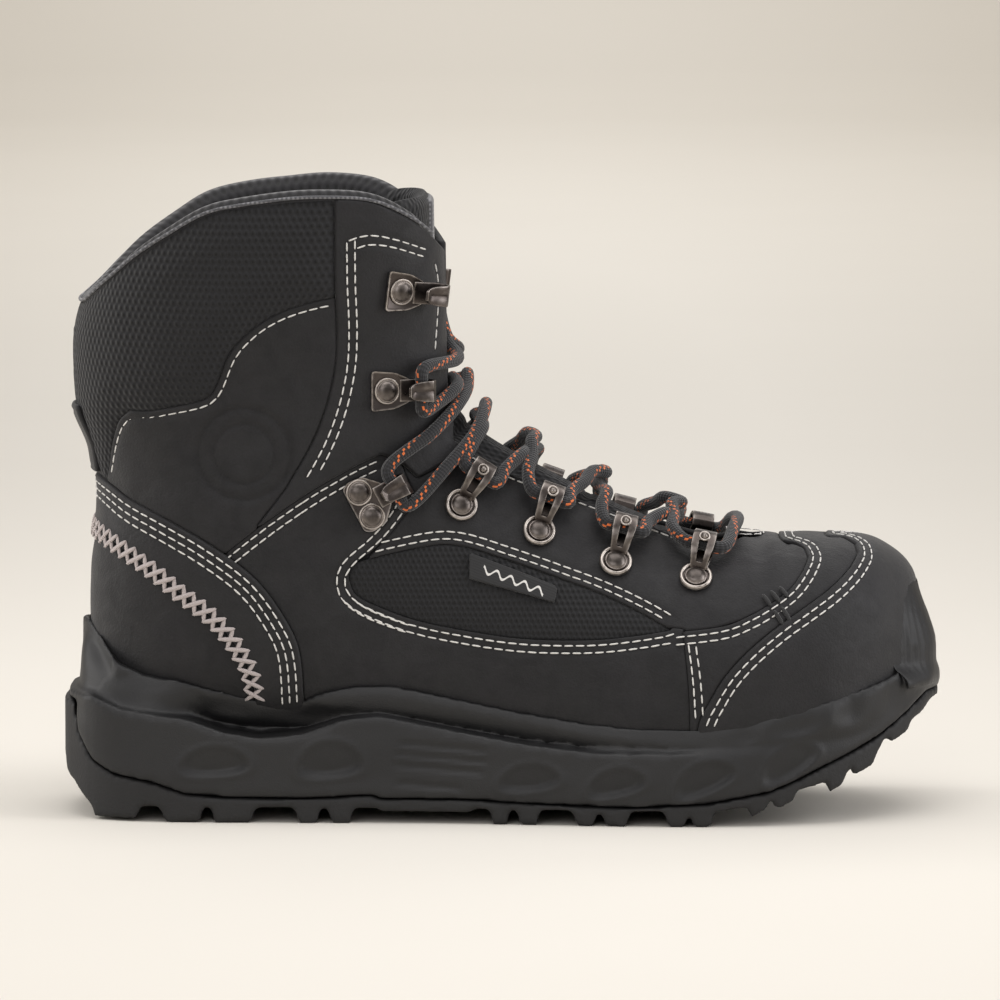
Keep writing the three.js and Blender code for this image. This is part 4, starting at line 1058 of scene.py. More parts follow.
def loftedPiece(name, path, away, up, section, scales=None, closedPath=False):
    # a closed section carried along a path
    section = np.array(section, float)
    count, ring = len(path), len(section)
    scales = np.ones(count) if scales is None else scales
    centre = section.mean(0)
    points = []
    for k in range(count):
        local = centre + (section - centre) * scales[k]
        points.append(path[k] + local[:, :1] * away[k] + local[:, 1:] * up[k])
    faces = []
    for k in range(count if closedPath else count - 1):
        for n in range(ring):
            a, b = k * ring + n, k * ring + (n + 1) % ring
            c = ((k + 1) % count) * ring
            faces.append([a, b, c + (n + 1) % ring, c + n])
    if not closedPath:
        faces.append(list(range(ring))[::-1])
        faces.append([(count - 1) * ring + n for n in range(ring)])
    obj = meshPiece(name, np.concatenate(points), faces)
    faceOutwards(obj)
    run = runLengths(path)
    around = runLengths(section)
    setUv(obj, np.stack([np.repeat(run, ring), np.tile(around, count)], 1) * mm)
    return obj


def circleSection(radius, sides=12, centre=(0, 0)):
    return [(centre[0] + radius * math.cos(2 * math.pi * n / sides),
             centre[1] + radius * math.sin(2 * math.pi * n / sides)) for n in range(sides)]


def makeCollar():
    path, away, up = collarPath()
    count = len(path)
    ends = np.minimum(np.arange(count), np.arange(count)[::-1]) * 1.6
    scales = 0.35 + 0.65 * np.sqrt(np.clip(ends / 7, 0, 1))
    roll = [(0.1, -2.2), (0.6, -0.4), (0.3, 1.2), (-0.8, 2.5), (-2.8, 3.2), (-5.0, 3.0),
            (-7.2, 1.8), (-8.8, -0.4), (-9.9, -4), (-10.4, -9), (-10.4, -16), (-9.6, -17),
            (-7.4, -12), (-3.6, -7), (-1.8, -4)]
    swell = np.array([[noise.noise(Vector(p) * 0.05) * 0.7] for p in path])
    obj = loftedPiece("collar_roll", path + up * swell, away, up, roll, scales)
    subdivide = obj.modifiers.new("round", "SUBSURF")
    subdivide.levels = subdivide.render_levels = 1
    finishPiece(obj, "boot", liningMesh, "lining", "collar_pad")
    seam = path + away * 0.95 + up * (0.7 + swell)
    piping = loftedPiece("collar_piping_tube", seam, away, up,
                         circleSection(collarSetup["pipingRadius"], 10))
    finishPiece(piping, "boot", greyTape, "grey_binding", "collar_piping")


def liningDepth(points):
    x, _, z = points.T
    toe = ramp(x, 80, 88) * 2.5
    heel = ramp(-x, 62, 78) * (1 - ramp(z, 98, 112)) * 2.0
    collar = ramp(z, 124, 142) * ramp(-x, 48, 62) * 6.0
    return 2.5 + toe + heel + collar


def makeLining():
    edge = np.maximum(fields["collar"] + 7, fields["throat"] + 1)
    points, normals, _, faces = cutPanel(-edge, (0.0, 1.0), 2)
    depth = liningDepth(points)
    top = points - normals * depth[:, None]
    bottom = points - normals * (depth + 1.6)[:, None]
    obj = meshPiece("lining_sleeve", *closeShell(top, bottom, faces))
    setUv(obj, np.tile(shaftWeave(points) * mm, (2, 1)))
    finishPiece(obj, "boot", liningMesh, "lining", "lining_bootie")


makeCollar()
makeLining()
print("collar and lining ready")

tongueSetup = {"fill": 0.75, "channelEvery": 21.0, "channelDepth": 1.1}
tongueLine = [[77, 112], [76, 87], [60, 88], [36, 96], [12, 108], [-10, 122], [-28, 138],
              [-41, 160], [-43, 190], [-42, 210], [-38, 216], [-33, 218], [-20, 219], [20, 219],
              [60, 140]]


def tongueHeight(points):
    x, y, z = points.T
    crest = (1 - ramp(np.abs(y), 7, 13.5)) * (1 - ramp(x, 50, 64)) * (1 - ramp(z, 148, 164))
    climb = z * 0.87 - x * 0.5
    lying = np.abs(((climb / tongueSetup["channelEvery"]) % 1) - 0.5)
    quilt = np.exp(-((0.5 - lying) * tongueSetup["channelEvery"] / 1.6) ** 2)
    free = 1 - ramp(np.abs(y), 20, 30)
    return -4.6 + crest * 2.0 - tongueSetup["channelDepth"] * quilt * free * (z < 200)


def makeTongue():
    field = np.minimum(trueField(sideField(smoothLine(tongueLine + tongueLine[:1]))),
                       46 - np.abs(gridP[..., 1]))
    points, normals, inside, faces = cutPanel(field, (0.0, 0.5, 1.6, 3.0))
    height = tongueHeight(points)
    pinch = 2.1 * (1 - np.sin(np.clip(inside / 3.4, 0, 1) * math.pi / 2))
    top = points + normals * (height - pinch)[:, None]
    bottom = points + normals * (-9.6 + pinch)[:, None]
    obj = meshPiece("tongue_pad", *closeShell(top, bottom, faces))
    pair = np.stack([points[:, 1], points[:, 2] * 0.87 - points[:, 0] * 0.5], 1) * mm
    setUv(obj, np.tile(pair, (2, 1)))
    finishPiece(obj, "tongue", airMesh, "tongue_fabric", "tongue")
    # grey facing on the front of the free end, with its own rolled edge
    patch = np.minimum(np.minimum(field - 1.2, 15 - np.abs(gridP[..., 1])), gridP[..., 2] - 197)
    points, normals, inside, faces = cutPanel(patch, (0.0, 0.4, 1.2))
    height = tongueHeight(points) + 1.0 - 0.7 * (1 - np.clip(inside / 1.2, 0, 1)) ** 2
    pinch = 2.1 * (1 - np.sin(np.clip((inside + 1.2) / 3.4, 0, 1) * math.pi / 2))
    top = points + normals * (height - pinch)[:, None]
    bottom = points + normals * (tongueHeight(points) - pinch - 0.4)[:, None]
    obj = meshPiece("tongue_front_facing", *closeShell(top, bottom, faces))
    finishPiece(obj, "tongue", greyTape, "grey_binding")


makeTongue()
print("tongue ready")

def makePullTab():
    y, z, x = gridP[..., 1], gridP[..., 2], gridP[..., 0]
    field = np.minimum(np.minimum(13 - np.abs(y), np.minimum(z - 121, 145 - z)), -128 - x)
    points, normals, inside, faces = cutPanel(field, (0.0, 0.3, 0.9))
    base = 1 + 1.6 * ramp(points[:, 2], 128, 146)
    rounded = 0.6 * (1 - np.sin(np.clip(inside / 0.9, 0, 1) * math.pi / 2))
    stitch = 0.3 * np.exp(-((inside - 2.2) / 0.5) ** 2)
    top = points + normals * (base + 1.8 - rounded - stitch)[:, None]
    bottom = points + normals * (base + 0.2 * rounded)[:, None]
    obj = meshPiece("pull_tab_strap", *closeShell(top, bottom, faces))
    finishPiece(obj, "pull_tab", smoothNubuck, "trim_leather", "pull_tab")


labelLine = [[-12, 94.8], [19, 83], [18, 77.6], [-12, 85.8], [-12, 94.8]]


def labelMaterial():
    # damask woven label: black satin ground with a plain pale wave
    material, tree, shader = newMaterial("damask_woven_label")
    uv = addNode(tree, "UVMap", uv_map="weave").outputs["UV"]
    split = addNode(tree, "SeparateXYZ", {"Vector": uv})
    phase = addNode(tree, "Math", {0: split.outputs["X"], 1: 2 * math.pi * perMm(5.2)},
                    operation="MULTIPLY")
    wave = addNode(tree, "Math", {0: phase}, operation="SINE")
    lift = addNode(tree, "Math", {0: wave, 2: split.outputs["Y"], 1: 0.0011}, operation="MULTIPLY_ADD")
    away = addNode(tree, "Math", {0: lift}, operation="ABSOLUTE")
    line = addNode(tree, "Math", {0: away, 1: 0.00042}, operation="LESS_THAN")
    inner = addNode(tree, "Math", {0: split.outputs["X"]}, operation="ABSOLUTE")
    short = addNode(tree, "Math", {0: inner, 1: 0.0115}, operation="LESS_THAN")
    motif = addNode(tree, "Math", {0: line, 1: short}, operation="MULTIPLY")
    tint = addNode(tree, "ValToRGB", {"Fac": motif}, [(0.4, "#101012"), (0.6, "#d6d4d0")])
    rib = addNode(tree, "TexWave", {"Vector": uv, "Scale": perMm(0.45) / 6.28}, bands_direction="Y")
    bump = addNode(tree, "Bump", {"Height": rib.outputs["Fac"], "Strength": 0.5, "Distance": 0.0001})
    setInputs(tree, shader, {"Base Color": tint, "Normal": bump, "Roughness": 0.6,
                             "Sheen Weight": 0.15})
    return material


def makeLabel():
    field = np.minimum(sideField(labelLine), -gridP[..., 1])
    points, normals, inside, faces = cutPanel(field, (0.0, 0.3))
    flutter = 0.25 * np.sin(points[:, 0] * 0.22)
    rounded = 0.2 * (1 - np.clip(inside / 0.3, 0, 1))
    top = points + normals * (1.25 + flutter - rounded)[:, None]
    bottom = points + normals * (0.5 + flutter)[:, None]
    obj = meshPiece("side_label_woven", *closeShell(top, bottom, faces))
    lean = np.array([31.0, -11.8]) / math.hypot(31, 11.8)
    flat = np.stack([points[:, 0] - 3.5, points[:, 2] - 85.0], 1)
    pair = np.stack([flat @ lean, flat @ np.array([-lean[1], lean[0]])], 1) * mm
    setUv(obj, np.tile(pair, (2, 1)))
    finishPiece(obj, "side_label", labelMaterial(), "label_weave", "side_label")


makePullTab()
makeLabel()
print("tab and label ready")

soleSetup = {"voxel": 1.15, "podDepth": 2.0, "foxing": 4.4}
footprintRows = [[-156, -14, 14], [-153, -24, 24], [-146, -34, 34], [-134, -40.5, 40.5],
                 [-115, -44, 44], [-90, -45.4, 45.4], [-60, -46, 46.4], [-30, -47, 48], [0, -50, 51],
                 [30, -54, 54.5], [60, -56.5, 56.5], [85, -56, 56.5], [105, -52.6, 55],
                 [122, -45.6, 51], [136, -36, 43.5], [146, -24, 33.5], [152, -12, 23], [155, -2, 14]]
pods = [(-101.7, 21, 12.3, 5.2, 4), (-60.9, 21.6, 11.6, 6.4, 6), (9, 16, 10.8, 4.8, 8),
        (39.6, 14.8, 10.4, 4.8, 14), (70.5, 16.4, 11.4, 5.4, 24), (100, 21.6, 11, 5.2, 32)]
ribs = [(-21.5, 27.2, 17), (-22, 23.4, 18), (-23, 19.6, 17.5), (-26, 13.4, 13)]


def copyOfNode(name, node):
    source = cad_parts[node]
    mesh = source.data.copy()
    obj = bpy.data.objects.new(name, mesh)
    bpy.context.collection.objects.link(obj)
    makeActive(obj)
    bpy.ops.object.mode_set(mode="EDIT")
    bpy.ops.mesh.select_all(action="SELECT")
    bpy.ops.mesh.remove_doubles(threshold=2e-6)
    bpy.ops.object.mode_set(mode="OBJECT")
    return obj


def remeshed(obj, voxel, rounds, factor=0.5):
    modifier = obj.modifiers.new("even", "REMESH")
    modifier.mode = "VOXEL"
    modifier.voxel_size = voxel * mm
    makeActive(obj)
    bpy.ops.object.modifier_apply(modifier="even")
    if rounds:
        modifier = obj.modifiers.new("soften", "SMOOTH")
        modifier.factor, modifier.iterations = factor, rounds
        bpy.ops.object.modifier_apply(modifier="soften")
    obj.data.polygons.foreach_set("use_smooth", [True] * len(obj.data.polygons))
    return obj


def readPoints(obj):
    count = len(obj.data.vertices)
    points, normals = np.zeros(count * 3), np.zeros(count * 3)
    obj.data.vertices.foreach_get("co", points)
    obj.data.vertices.foreach_get("normal", normals)
    return points.reshape(-1, 3) / mm, normals.reshape(-1, 3)


def writePoints(obj, points):
    obj.data.vertices.foreach_set("co", (points * mm).ravel())
    obj.data.update()


def footprintLine(inset, smooth):
    outer = [[x, y + inset] for x, y, _ in footprintRows]
    inner = [[x, y - inset] for x, _, y in footprintRows][::-1]
    line = np.array(outer + inner)
    line[:, 0] *= 1 - inset / 160
    if not smooth:
        return line
    loop = smoothLine(np.concatenate([line[-2:], line, line[:3]]).tolist(), sharpTurn=80, step=2)
    low = int(np.argmin(np.linalg.norm(loop - line[0], axis=1)[:len(loop) // 2]))
    high = len(loop) // 2 + int(np.argmin(np.linalg.norm(loop - line[0], axis=1)[len(loop) // 2:]))
    return loop[low:high]


def roundSides(points, normals, inset):
    # turns the flat facets of the footprint into its smooth curve
    flat, curve = (signedGap(points[:, 0], points[:, 1], footprintLine(inset, smooth), 1e4)
                   for smooth in (False, True))
    share = (1 - ramp(np.abs(flat), 0.8, 2.6)) * (np.abs(normals[:, 2]) < 0.8)
    out = normals.copy()
    out[:, 2] = 0
    out /= np.maximum(np.linalg.norm(out, axis=1, keepdims=True), 1e-6)
    return points + out * ((curve - flat) * share)[:, None]


gridFlat, gridNormalFlat = gridP[::2, ::2].reshape(-1, 3), gridN[::2, ::2].reshape(-1, 3)
gridTree = pointTree(gridFlat)


wingSetup = {"centre": -100.0, "columns": 84, "fadeFrom": 96, "fadeTo": 124,
             "profile": [(0, 0.13), (0.06, 0.3), (0.13, 0.42), (0.25, 0.53), (0.4, 0.62), (0.6, 0.69),
                         (0.8, 0.77), (1.0, 0.86), (1.15, 0.86)]}
ledgeLine = [[-150, 44], [-134, 39.5], [-111, 36.5], [-98, 32], [-86, 30]]


def heelWing():
    # the rubber that rises round the heel: sections from the leather out to the ledge
    centre = wingSetup["centre"]
    angles = np.linspace(math.radians(84), math.radians(276), wingSetup["columns"])
    heights = np.arange(26, 78, 3.0)
    table = np.zeros((len(heights), len(angles)))
    for row in range(len(heights) - 1, -1, -1):
        rings = [chain for chain, *_ in contourLines(gridP[..., 2], heights[row])]
        ring = np.concatenate(rings + [np.zeros((1, 3))])
        turn = np.arctan2(ring[:, 1], ring[:, 0] - centre) % (2 * math.pi)
        reach = np.hypot(ring[:, 1], ring[:, 0] - centre)
        keep = (turn > 1.2) & (turn < 5.1)
        order = np.argsort(turn[keep])
        complete = keep.sum() > 40      # below the welt the last full section is kept
        table[row] = np.interp(angles, turn[keep][order], reach[keep][order]) if complete \
            else table[row + 1]
    edge = footprintLine(0.4, True)
    turn = np.arctan2(edge[:, 1], edge[:, 0] - centre) % (2 * math.pi)
    reach = np.hypot(edge[:, 1], edge[:, 0] - centre)
    back = edge[:, 0] < -70
    order = np.argsort(turn[back])
    footing = np.interp(angles, turn[back][order], reach[back][order])
    points, faces = [], []
    profile = wingSetup["profile"]
    around = len(profile) * 2
    for c, angle in enumerate(angles):
        middle = np.interp(50, heights, table[:, c])
        x = centre + middle * math.cos(angle)
        top = np.interp(x, foxingSmooth[:, 0], foxingSmooth[:, 1])
        ledge = np.interp(x, *np.array(ledgeLine).T)
        fade = ramp(np.float64(-x), wingSetup["fadeFrom"], wingSetup["fadeTo"])
        outerSide, innerSide = [], []
        for t, share in profile:
            z = top - t * (top - ledge)
            skin = np.interp(z, heights, table[:, c])
            out = skin + 0.8 + fade * (share * max(footing[c] - skin, 0) - 0.8)
            outerSide.append((centre + out * math.cos(angle), out * math.sin(angle), z))
            skin += 0.4
            innerSide.append((centre + skin * math.cos(angle), skin * math.sin(angle), z))
        points += outerSide + innerSide[::-1]
        if c:
            for n in range(around):
                m = (n + 1) % around
                a, b = (c - 1) * around, c * around
                faces.append([a + n, a + m, b + m, b + n])
    faces.append(list(range(around)))
    faces.append([(len(angles) - 1) * around + n for n in range(around)][::-1])
    wing = meshPiece("heel_wing", np.array(points), faces)
    faceOutwards(wing)
    return wing


def makeMidsole():
    wing = heelWing()
    body = copyOfNode("midsole_unit", "midsole")
    wing.select_set(True)
    bpy.ops.object.join()
    obj = remeshed(body, soleSetup["voxel"], 2)
    points, normals = readPoints(obj)
    points = roundSides(points, normals, 0)
    points[:, 0] += 2.4 * ramp(points[:, 2], 31, 45) * ramp(-points[:, 0], 147, 154)
    # the foxing follows the upper at an even thickness and thins out at its top
    nearest = np.array([gridTree.find(p)[1] for p in points])
    skin = gridFlat[nearest]
    away = ((points - skin) * gridNormalFlat[nearest]).sum(1)
    top = np.interp(points[:, 0], foxingSmooth[:, 0], foxingSmooth[:, 1])
    side = ramp(points[:, 0], -112, -98) * (1 - ramp(points[:, 0], 118, 138)) * (points[:, 2] > 26)
    close = (1 - ramp(np.abs(away - soleSetup["foxing"]), 0.9, 2.0)) * side
    points = points + gridNormalFlat[nearest] * ((soleSetup["foxing"] - away) * close)[:, None]
    away = away + (soleSetup["foxing"] - away) * close
    thin = np.interp(top - points[:, 2], [0, 3, 9], [0.36, 0.7, 1.0])
    share = side * (away > 0.3) * (1 - ramp(away, 5.4, 7.5))
    points = points - gridNormalFlat[nearest] * (away * (1 - thin) * share)[:, None]
    # the bumper swells from the leather over the toe and thins out at its top
    front = ramp(away, 0.8, 1.6) * ramp(points[:, 0], 139, 141) * ramp(points[:, 2], 48, 54)
    swell = 0.9 + 6.6 * ramp(skin[:, 0], 138.5, 147) * (1 - 0.9 * ramp(skin[:, 2], 58, 81))
    points = points + gridNormalFlat[nearest] * (np.minimum(swell - away, 0) * front)[:, None]
    writePoints(obj, points)
    modifier = obj.modifiers.new("soften", "SMOOTH")
    modifier.factor, modifier.iterations = 0.5, 7
    makeActive(obj)
    bpy.ops.object.modifier_apply(modifier="soften")
    points, normals = readPoints(obj)
    x, y, z = points.T
    sideways = ramp(np.abs(normals[:, 1]), 0.35, 0.7) * (np.abs(y) > 30)
    push = np.zeros(len(points))
    for px, pz, halfX, halfZ, lean in pods:
        c, s = math.cos(math.radians(lean)), math.sin(math.radians(lean))
        u = ((x - px) * c + (z - pz) * s) / halfX
        v = (-(x - px) * s + (z - pz) * c) / halfZ
        v = v + 0.35 * u * u - 0.15
        r = np.sqrt(u * u + v * v)
        push -= soleSetup["podDepth"] * (1 - ramp(r, 0.72, 1.0)) * (0.55 - 0.45 * v)
        push += 0.45 * np.exp(-((r - 1.1) / 0.12) ** 2)
    for px, pz, half in ribs:
        push -= 0.9 * np.exp(-((z - pz - (x - px) * -0.08) / 0.8) ** 2) * (
            1 - ramp(np.abs(x - px), half - 4, half))
    push += 0.35 * np.array([noise.noise(Vector(p * np.array([0.02, 0.02, 0.09]))) for p in points])
    writePoints(obj, points + normals * (push * sideways)[:, None])
    finishPiece(obj, "boot", satinRubber, "midsole_rubber", "midsole")


def makeOutsole():
    obj = remeshed(copyOfNode("outsole_unit", "outsole"), soleSetup["voxel"], 1)
    points, normals = readPoints(obj)
    writePoints(obj, roundSides(points, normals, 0.8))
    finishPiece(obj, "boot", carbonRubber, "outsole_rubber", "outsole")


def makeFootbed():
    obj = remeshed(copyOfNode("footbed_pad", "footbed"), 2.2, 6)
    modifier = obj.modifiers.new("round", "SUBSURF")
    modifier.levels = modifier.render_levels = 1
    makeActive(obj)
    bpy.ops.object.modifier_apply(modifier="round")
    points, normals = readPoints(obj)
    dimple = np.sin(points[:, 0] * 0.9) * np.sin(points[:, 1] * 0.9)
    push = 0.18 * dimple * (normals[:, 2] > 0.5)
    writePoints(obj, points + normals * push[:, None])
    finishPiece(obj, "footbed", footbedCloth, "footbed_foam", "footbed")


makeMidsole()
makeOutsole()
makeFootbed()
print("sole ready")

metalSetup = {"thickness": 1.1, "discRadius": 5.9, "rivetRadius": 3.9, "roof": 7.15}


def bentStrap(name, path, halfWidths, slotRows, pressed=()):
    # a flat strap with five columns bent along a path, its middle cut out over some rows
    deselectAll()
    rows = len(path)
    bpy.ops.mesh.primitive_grid_add(x_subdivisions=rows - 1, y_subdivisions=4, size=1)
    obj = bpy.context.active_object
    obj.name = name
    spots = sorted(obj.data.vertices, key=lambda v: (round(v.co.x, 4), round(v.co.y, 4)))
    grid = [spots[r * 5:(r + 1) * 5] for r in range(rows)]
    shares = (-1.0, -0.36, 0.0, 0.36, 1.0)
    rowOf = {}
    for r, column in enumerate(grid):
        for c, vertex in enumerate(column):
            dip = 0.55 if (r in pressed and c == 2) else 0.0
            vertex.co = (path[r][0], halfWidths[r] * shares[c], path[r][1] - dip)
            rowOf[vertex.index] = (r, c)
    bpy.ops.object.mode_set(mode="EDIT")
    bpy.ops.mesh.select_all(action="DESELECT")
    bpy.ops.object.mode_set(mode="OBJECT")
    for polygon in obj.data.polygons:
        places = [rowOf[v] for v in polygon.vertices]
        low = min(r for r, c in places)
        middle = all(1 <= c <= 3 for r, c in places)
        polygon.select = middle and low in slotRows
    if slotRows:
        bpy.ops.object.mode_set(mode="EDIT")
        bpy.ops.mesh.select_mode(type="FACE")
        bpy.ops.mesh.delete(type="FACE")
        bpy.ops.object.mode_set(mode="OBJECT")
    wall = obj.modifiers.new("wall", "SOLIDIFY")
    wall.thickness, wall.offset = metalSetup["thickness"], 0
    edge = obj.modifiers.new("edge", "BEVEL")
    edge.width, edge.segments, edge.limit_method = 0.22, 2, "ANGLE"
    smooth = obj.modifiers.new("smooth", "SUBSURF")
    smooth.levels = smooth.render_levels = 1
    for modifier in ("wall", "edge", "smooth"):
        bpy.ops.object.modifier_apply(modifier=modifier)
    return obj


def pressedPlate(name, outline, rim):
    # a stamped plate: outline filled, given its thickness, with the inside pressed down a little
    deselectAll()
    bpy.ops.mesh.primitive_circle_add(vertices=len(outline), radius=1, fill_type="NGON")
    obj = bpy.context.active_object
    obj.name = name
    for vertex, (x, y) in zip(obj.data.vertices, outline):
        vertex.co = (x, y, 0)
    bpy.ops.object.mode_set(mode="EDIT")
    bpy.ops.mesh.select_all(action="SELECT")
    bpy.ops.mesh.extrude_region_move(TRANSFORM_OT_translate={"value": (0, 0, 1.25)})
    bpy.ops.mesh.inset(thickness=rim)
    bpy.ops.transform.translate(value=(0, 0, -0.4))
    bpy.ops.mesh.select_all(action="SELECT")
    bpy.ops.mesh.normals_make_consistent(inside=False)
    bpy.ops.object.mode_set(mode="OBJECT")
    edge = obj.modifiers.new("edge", "BEVEL")
    edge.width, edge.segments, edge.limit_method = 0.3, 2, "ANGLE"
    bpy.ops.object.modifier_apply(modifier="edge")
    return obj


def ringPiece(major, minor, place, sides=26):
    deselectAll()
    bpy.ops.mesh.primitive_torus_add(major_radius=major, minor_radius=minor, location=place,
                                     major_segments=sides, minor_segments=8)
    return bpy.context.active_object


def ballPiece(radius, place, flat=1.0):
    deselectAll()
    bpy.ops.mesh.primitive_uv_sphere_add(segments=20, ring_count=12, radius=radius, location=place)
    obj = bpy.context.active_object
    obj.scale = (1, 1, flat)
    return obj


def joined(name, parts):
    deselectAll()
    for part in parts:
        part.select_set(True)
    bpy.context.view_layer.objects.active = parts[0]
    bpy.ops.object.transform_apply(location=True, rotation=True, scale=True)
    bpy.ops.object.join()
    obj = bpy.context.active_object
    obj.name = name
    obj.data.polygons.foreach_set("use_smooth", [True] * len(obj.data.polygons))
    bpy.ops.object.shade_smooth_by_angle(angle=math.radians(50))
    return obj


def roundOutline(radius, count=24):
    return [(radius * math.cos(2 * math.pi * n / count), radius * math.sin(2 * math.pi * n / count))
            for n in range(count)]


def softOutline(corners, radius=1.3):
    # corners rounded with short arcs
    out = []
    count = len(corners)
    for i, corner in enumerate(corners):
        c = np.array(corner, float)
        a, b = np.array(corners[i - 1], float) - c, np.array(corners[(i + 1) % count], float) - c
        a, b = a / np.linalg.norm(a) * radius, b / np.linalg.norm(b) * radius
        for t in (0, 0.33, 0.67, 1):
            out.append(tuple(c + a * (1 - t) ** 2 + b * t ** 2))
    return out


roof = metalSetup["roof"]
loopTemplate = joined("loop_template", [
    pressedPlate("loop_base", roundOutline(metalSetup["discRadius"]), 1.0),
    ringPiece(5.15, 0.72, (0, 0, 1.15)),
    bentStrap("loop_strap",
              [(3.4, 1.2), (4.8, 3.4), (6.4, 5.3), (8.6, 6.7), (11.2, roof + 0.05), (13.0, roof + 0.1),
               (14.8, roof), (16.4, 6.1), (17.3, 4.2), (17.3, 2.2), (16.2, 0.85), (13, 0.6),
               (9, 0.6), (5, 0.6)],
              [2.9, 3.1, 3.5, 4.0, 4.2, 4.2, 4.1, 4.0, 3.9, 3.9, 3.9, 3.9, 3.6, 3.2], (1, 2, 3)),
    ballPiece(1.25, (13.0, 0, roof + 0.45)),
    ringPiece(1.75, 0.42, (13.0, 0, roof + 0.55), 18),
])
tabPath = [(4.6, 0.75), (9, 0.7), (12.8, 0.75), (15, 1.6), (16.2, 3.3), (16.2, 5.0), (15, 6.6),
           (12.8, roof), (10.4, roof), (8.2, roof + 0.1), (6.9, roof + 0.5), (6.1, roof + 1.2)]
tabWidths = [3.9, 3.9, 3.9, 3.9, 3.9, 3.9, 3.8, 3.6, 3.4, 3.0, 2.4, 1.6]


def hookTemplate(name, outline):
    return joined(name, [
        pressedPlate(name + "_plate", softOutline(outline), 1.0),
        bentStrap(name + "_tab", tabPath, tabWidths, (), (6, 7, 8, 9)),
        ringPiece(4.3, 0.45, (0, -4.8 if "lock" in name else 0, 1.1)),
    ] + ([ringPiece(4.3, 0.45, (0, 4.8, 1.1))] if "lock" in name else []))


speedTemplate = hookTemplate("speed_template", [(-5.8, -7.2), (3, -6.4), (8.6, -3.9), (8.6, 3.9),
                                                (3, 6.4), (-5.8, 7.2)])
lockTemplate = hookTemplate("lock_template", [(-4.8, -8.4), (-2, -9.8), (3.4, -9.2), (8.6, -3.9),
                                              (8.6, 3.9), (3.4, 9.2), (-2, 9.8), (-4.8, 8.4)])
rivetTemplate = joined("rivet_template", [
    ballPiece(metalSetup["rivetRadius"] - 0.25, (0, 0, 1.15), 0.5),
    ringPiece(metalSetup["rivetRadius"] - 0.35, 0.42, (0, 0, 1.2), 24),
])
templates = {"loop": loopTemplate, "speed": speedTemplate, "lock": lockTemplate}
stations = [("loop_eyelet_1", (67.6, 85.6), 72, 0.35, "loop"),
            ("loop_eyelet_2", (39.4, 91), 74, 0.35, "loop"),
            ("loop_eyelet_3", (12.4, 101.6), 70, 0.35, "loop"),
            ("loop_eyelet_4", (-15, 111), 58, 0.35, "loop"),
            ("lock_hook", (-48.6, 112), 28, 0.7, "lock"),
            ("speed_hook_1", (-41.6, 152), 0, 1.7, "speed"),
            ("speed_hook_2", (-36.8, 187), -6, 1.7, "speed")]


def frameOn(x, z, degrees, sideSign, lift):
    position, angle = locate(x, z, sideSign)
    away = upperNormal(np.float64(position), np.float64(angle))
    point = upperPoint(position, angle) + away * lift
    heading = np.array([math.cos(math.radians(degrees)), 0, math.sin(math.radians(degrees))])
    heading[1] = -heading.dot(away) / away[1]
    heading /= np.linalg.norm(heading)
    across = np.cross(away, heading)
    return Matrix((
        (heading[0], across[0], away[0], point[0]), (heading[1], across[1], away[1], point[1]),
        (heading[2], across[2], away[2], point[2]), (0, 0, 0, 1)))


def placeCopy(template, name, place, material, slot, node):
    mesh = template.data.copy()
    mesh.transform(Matrix.Scale(mm, 4) @ place)
    obj = bpy.data.objects.new(name, mesh)
    bpy.context.collection.objects.link(obj)
    return finishPiece(obj, "boot", material, slot, node)


threads = {-1: [], 1: []}
upBack = np.array([-0.5, 0, 0.87])
for name, (x, z), degrees, lift, kind in stations:
    for sideSign, sideName in ((-1, "outer"), (1, "inner")):
        place = frameOn(x, z, degrees, sideSign, lift)
        node = name + "_" + sideName
        placeCopy(templates[kind], node + "_metal", place, gunmetal, "gunmetal", node)
        spots = [("_a", -4.8), ("_b", 4.8)] if kind == "lock" else [("", 0)]
        for tail, y in spots:
            placeCopy(rivetTemplate, "rivet_" + node + tail + "_dome",
                      place @ Matrix.Translation((0, y, 0)), rivetMetal, "rivet_gunmetal",
                      "rivet_" + node + tail)
        across = np.array(place.col[1][:3])
        up = 1 if across.dot(upBack) > 0 else -1
        reach, half = (12.4, 6.4) if kind == "loop" else (12.1, 7)
        threads[sideSign].append([np.array((place @ Vector((reach, s * half * up, 3.85)))[:])
                                  for s in (1, 0, -1)])
for template in (loopTemplate, speedTemplate, lockTemplate, rivetTemplate):
    bpy.data.objects.remove(template)
print("metalwork ready")

laceSetup = {"diameter": 4.6, "sides": 14, "step": 1.1}
crossings = [(60, 102), (34, 114), (9, 127), (-9.4, 140), (-18.6, 153)]
lowRise, edgeRise = 0.7, 4.4
highRise = lowRise + 5.4


def restOn(point, rise):
    # the place over the front of the upper straight out from a point
    low, high = 2.0, float(lastRow)
    angle = math.pi
    for _ in range(40):
        half = (low + high) / 2
        row = rowAt(np.float64(half))
        share = min(0.97, abs(point[1] - row[5]) / row[4])
        turn = math.asin(share ** (row[7] / 2))
        angle = math.pi + (turn if point[1] > row[5] else -turn)
        if upperPoint(half, angle).dot(upBack) < point.dot(upBack):
            low = half
        else:
            high = half
    return upperPoint(low, angle) + upperNormal(np.float64(low), np.float64(angle)) * rise


def throatPoint(x, y, z, rise):
    return restOn(np.array([x, y, z], float), rise)


def strandTo(start, end, rise):
    out = []
    for share in (0.3, 0.55, 0.8):
        chord = start * (1 - share) + end * share
        near = float(ramp(abs(chord[1]), 3, 14))
        out.append(restOn(chord, rise + (edgeRise - rise) * near))
    return out


